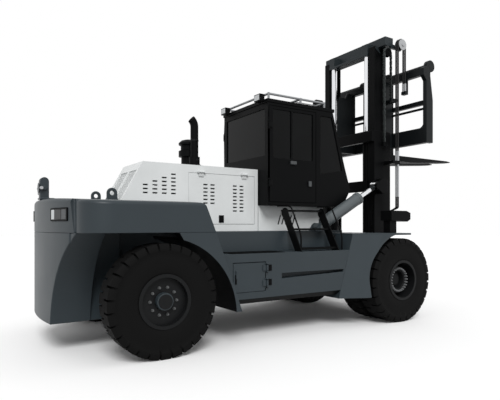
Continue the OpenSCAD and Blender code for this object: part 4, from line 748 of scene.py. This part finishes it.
grab_rail_r, grab_rail_bend = 0.012, 0.08
grab_rail_corners = ((1.25, 1.195), (1.25, 1.44), (1.0, 1.88), (0.66, 1.885))
grab_rails = bmesh.new()
for side in (-1, 1):
    for rail_x in (2.245, 3.06):
        corners = [at(rail_x, side * y, z) for y, z in grab_rail_corners]
        tube(grab_rails, corners, grab_rail_r, grab_rail_bend)
bmesh.ops.remove_doubles(grab_rails, verts=grab_rails.verts, dist=0.0001)
bmesh.ops.recalc_face_normals(grab_rails, faces=grab_rails.faces)
piece("grab_rails", grab_rails, black, "chassis", crease=50)

# Mast: two pairs of rolled steel channels, one sliding in the other, tied across and sprayed black, with a
# slate crosshead. Plates welded behind the crosshead hold the heads of the lift rods.
ground("mast_outer", 0.006, black, "outer_mast")
inner_mast = ground("mast_inner", 0.006, black, "inner_mast")
beam_slate = paint("dark slate enamel", (0.019, 0.025, 0.028), 0.42, specular=0.2)
crosshead_foot_z = 4.78
two_tone(inner_mast, beam_slate, lambda face: face.center.z > crosshead_foot_z)
rod_head_half, crosshead_half = 0.515, 0.796
rod_shelf = ((4.392, 4.575), rod_head_half, (4.716, 4.754))
rod_web = ((4.552, 4.575), rod_head_half, (4.750, 4.862))
crosshead_face = ((4.557, 4.570), crosshead_half, (4.858, 5.012))
rod_head_plate = bmesh.new()
for x, half, z in (rod_shelf, rod_web, crosshead_face):
    block_at(rod_head_plate, x, (-half, half), z)
round_edges(rod_head_plate, 0.004)
piece("rod_head_plate", rod_head_plate, beam_slate, "inner_mast")

# Lift and tilt cylinders: steel barrels, black for the lift inside the mast and grey for the tilt with a
# collar at the gland, and ground hard-chromed rods. The tilt rods end in dark forged eyes.
def bright(name, colour, roughness):
    """Bare bright metal with fine turning marks."""
    material = paint(name, colour, roughness, cloud=0.04, peel=0.05)
    material.node_tree.nodes["Principled BSDF"].inputs["Metallic"].default_value = 1
    return material


chrome = bright("hard chrome", (0.80, 0.81, 0.83), 0.12)
barrel_grey = paint("tilt barrel enamel", (0.075, 0.088, 0.094), 0.4)
mast_dark = paint("dark mast enamel", (0.007, 0.0088, 0.0098), 0.42, specular=0.15)
coat(("lift_barrels",), black)
coat(("tilt_barrels",), barrel_grey)
coat(("lift_rods", "tilt_rods"), chrome)
tilt_y = 0.82
tilt_pivot = at(2.95, 0, 1.56)
tilt_eye = at(4.27, 0, 2.28)
tilt_along = (tilt_eye - tilt_pivot).normalized()
gland_reach, collar_length, collar_r = 0.97, 0.066, 0.106
eye_half = Vector((0, 0.054, 0))
eye_r, shank_length, shank_r = 0.066, 0.15, 0.048
collars = bmesh.new()
rod_ends = bmesh.new()
for side in (-1, 1):
    across = Vector((0, side * tilt_y, 0))
    gland = tilt_pivot + across + tilt_along * gland_reach
    rod(collars, gland, gland + tilt_along * collar_length, collar_r, 32)
    eye = tilt_eye + across
    rod(rod_ends, eye - eye_half, eye + eye_half, eye_r, 24)
    rod(rod_ends, eye - tilt_along * shank_length, eye, shank_r, 24)
round_edges(collars, 0.006)
piece("tilt_glands", collars, barrel_grey, "tilt_cylinders")
piece("tilt_rod_eyes", rod_ends, mast_dark, "tilt_pistons")

# Leaf chains: stacks of punched steel plates on riveted pins, oiled dark, anchored on the outer mast, run
# over the sheaves of the inner mast and down to the carriage. Links of five and four plates take turns.
chain_steel = bright("oiled chain steel", (0.10, 0.11, 0.11), 0.45)
chain_pitch = 0.0508
chain_t = 0.020
plate_t, plate_step, plate_end = 0.005, 0.0108, 0.012
plate_round = 0.008
chain_pin_half, chain_pin_r = 0.026, 0.0065
chain_y = 0.76
sheave_x, sheave_z, sheave_r = 4.66, 4.74, 0.078
sheave_gap = 0.0003
chain_lead = sheave_r + sheave_gap + chain_t / 2


def link_pattern(title, count):
    """One link: plates side by side from pin to pin, with the pin at its lower end."""
    link = bmesh.new()
    for i in range(count):
        offset = (i - (count - 1) / 2) * plate_step
        block(link, (-chain_t / 2, offset - plate_t / 2, -plate_end),
              (chain_t / 2, offset + plate_t / 2, chain_pitch + plate_end))
    ends = [edge for edge in link.edges if abs(edge.verts[0].co.y - edge.verts[1].co.y) > plate_t / 2]
    bmesh.ops.bevel(link, geom=ends, offset=plate_round, offset_type="OFFSET", affect="EDGES", segments=2,
                    profile=0.5, material=-1)
    rod(link, (0, -chain_pin_half, 0), (0, chain_pin_half, 0), chain_pin_r, 8)
    mesh = bpy.data.meshes.new(title)
    link.to_mesh(mesh)
    link.free()
    return mesh


links = [link_pattern("outer_link", 5), link_pattern("inner_link", 4)]


def lay_link(shape, count, place, turn):
    """Sets the next link of a chain, outer and inner links in turn."""
    known = len(shape.verts)
    shape.from_mesh(links[count % 2])
    shape.verts.ensure_lookup_table()
    laid = Matrix.Translation(place) @ Matrix.Rotation(turn, 4, "Y")
    bmesh.ops.transform(shape, matrix=laid, verts=shape.verts[known:])


rear_run = bmesh.new()
front_run = bmesh.new()
chain_anchor_z, chain_end_z = 3.10, 3.92
wrap = chain_pitch / chain_lead
wrap_start = 0.15
for side in (-1, 1):
    y = side * chain_y
    for i in range(int((sheave_z - chain_anchor_z) / chain_pitch)):
        z = chain_anchor_z + plate_end + i * chain_pitch
        lay_link(rear_run, i, at(sheave_x - chain_lead, y, z), 0)
    for i in range(int(math.pi / wrap)):
        turn = (i + wrap_start) * wrap
        x = sheave_x - chain_lead * math.cos(turn)
        z = sheave_z + chain_lead * math.sin(turn)
        lay_link(front_run, i + 1, at(x, y, z), turn + wrap / 2)
    for i in range(int((sheave_z - chain_end_z) / chain_pitch)):
        z = chain_end_z + plate_end + i * chain_pitch
        lay_link(front_run, i, at(sheave_x + chain_lead, y, z), 0)
for mesh in links:
    bpy.data.meshes.remove(mesh)
rear_chain = piece("leaf_chain_rear", rear_run, chain_steel, None)
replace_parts(rear_chain, "chains_rear")
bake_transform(rear_chain)
front_chain = piece("leaf_chain_front", front_run, chain_steel, None)
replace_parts(front_chain, "chains_front")
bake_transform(front_chain)
coat(("mast_sheaves",), black)

# Carriage hoses: a pair of rubber hydraulic hoses from steel pipes on the outer mast, over a flanged pulley
# and down to the carriage, with swaged steel ferrules at both ends.
hose_rubber = paint("hose rubber", (0.006, 0.006, 0.0065), 0.6, specular=0.25, peel=0.4)
hose_y, hose_pair, hose_r = -0.90, 0.022, 0.016
pulley_x, pulley_z, pulley_r = 4.85, 4.87, 0.08
pulley_gap = 0.0003
hose_lead = pulley_r + hose_r + pulley_gap
rear_x, front_x = pulley_x - hose_lead, pulley_x + hose_lead
hose_clamp_z, hose_end_z = 2.75, 4.04
ferrule_r, ferrule_nut_r, pipe_r = hose_r + 0.004, hose_r + 0.007, hose_r + 0.0012
rear_ferrule_z = (hose_clamp_z + 0.004, hose_clamp_z + 0.15)
ferrule_nut_z = (hose_clamp_z + 0.15, hose_clamp_z + 0.18)
front_ferrule_z = (hose_end_z + 0.002, hose_end_z + 0.14)
pipe_z = (2.10, hose_clamp_z - 0.062)
rear_hoses = bmesh.new()
front_hoses = bmesh.new()
rear_ferrules = bmesh.new()
front_ferrules = bmesh.new()
pipes = bmesh.new()
for y in (hose_y - hose_pair, hose_y + hose_pair):
    rod(rear_hoses, at(rear_x, y, hose_clamp_z), at(rear_x, y, pulley_z), hose_r, 16)
    ring = bmesh.ops.create_circle(front_hoses, segments=16, radius=hose_r, cap_ends=True)["verts"]
    bmesh.ops.translate(front_hoses, vec=at(front_x, y, hose_end_z), verts=ring)
    ring_edges = list(ring[0].link_faces[0].edges)
    run = bmesh.ops.extrude_edge_only(front_hoses, edges=ring_edges)["geom"]
    top = [item for item in run if isinstance(item, bmesh.types.BMVert)]
    rim = [item for item in run if isinstance(item, bmesh.types.BMEdge)]
    bmesh.ops.translate(front_hoses, vec=(0, 0, pulley_z - hose_end_z), verts=top)
    bmesh.ops.spin(front_hoses, geom=top + rim, cent=at(pulley_x, y, pulley_z), axis=(0, -1, 0),
                   angle=math.pi, steps=20)
    for shape, x, span_z, radius, sides in (
        (rear_ferrules, rear_x, rear_ferrule_z, ferrule_r, 16),
        (rear_ferrules, rear_x, ferrule_nut_z, ferrule_nut_r, 6),
        (front_ferrules, front_x, front_ferrule_z, ferrule_r, 16),
        (pipes, rear_x, pipe_z, pipe_r, 16),
    ):
        rod(shape, at(x, y, span_z[0]), at(x, y, span_z[1]), radius, sides)
bmesh.ops.remove_doubles(front_hoses, verts=front_hoses.verts, dist=0.00005)
bmesh.ops.recalc_face_normals(front_hoses, faces=front_hoses.faces)
rear_hose = piece("carriage_hoses_rear", rear_hoses, hose_rubber, None, crease=50)
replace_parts(rear_hose, "hose_rear")
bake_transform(rear_hose)
front_hose = piece("carriage_hoses_front", front_hoses, hose_rubber, None, crease=50)
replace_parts(front_hose, "hose_front")
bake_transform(front_hose)
piece("hose_ferrules_rear", rear_ferrules, zinc, "outer_mast", crease=50)
piece("hose_ferrules_front", front_ferrules, zinc, "fork_carriage", crease=50)
piece("hose_pipes", pipes, zinc, "outer_mast", crease=50)

# Hose pulley: a zinc-plated steel flange on each side keeps the hoses on the pulley, and a hexagon nut holds
# it on its pin at the head of the inner mast.
flange_t, flange_r = 0.008, pulley_r + 0.018
right_flange_y, left_flange_y = hose_y - 0.050, hose_y + 0.042
nut_face_y, nut_back_y, pulley_nut_r = hose_y - 0.064, hose_y - 0.048, 0.032
flanges = bmesh.new()
for flange_y in (right_flange_y, left_flange_y):
    rod(flanges, at(pulley_x, flange_y, pulley_z), at(pulley_x, flange_y + flange_t, pulley_z), flange_r, 40)
rod(flanges, at(pulley_x, nut_face_y, pulley_z), at(pulley_x, nut_back_y, pulley_z), pulley_nut_r, 6)
round_edges(flanges, 0.002)
piece("hose_pulley_flanges", flanges, zinc, "inner_mast")

# Carriage and forks: flame-cut plate and forged blades, sprayed black. The blades hang by eyes on a dark
# round shaft.
ground("carriage", 0.006, mast_dark, "fork_carriage")
fork_black = paint("worn fork enamel", (0.006, 0.0062, 0.0065), 0.6, specular=0.08, cloud=0.25)
ground("fork_left", 0.010, fork_black, "left_fork")
ground("fork_right", 0.010, fork_black, "right_fork")
coat(("fork_shaft",), mast_dark)
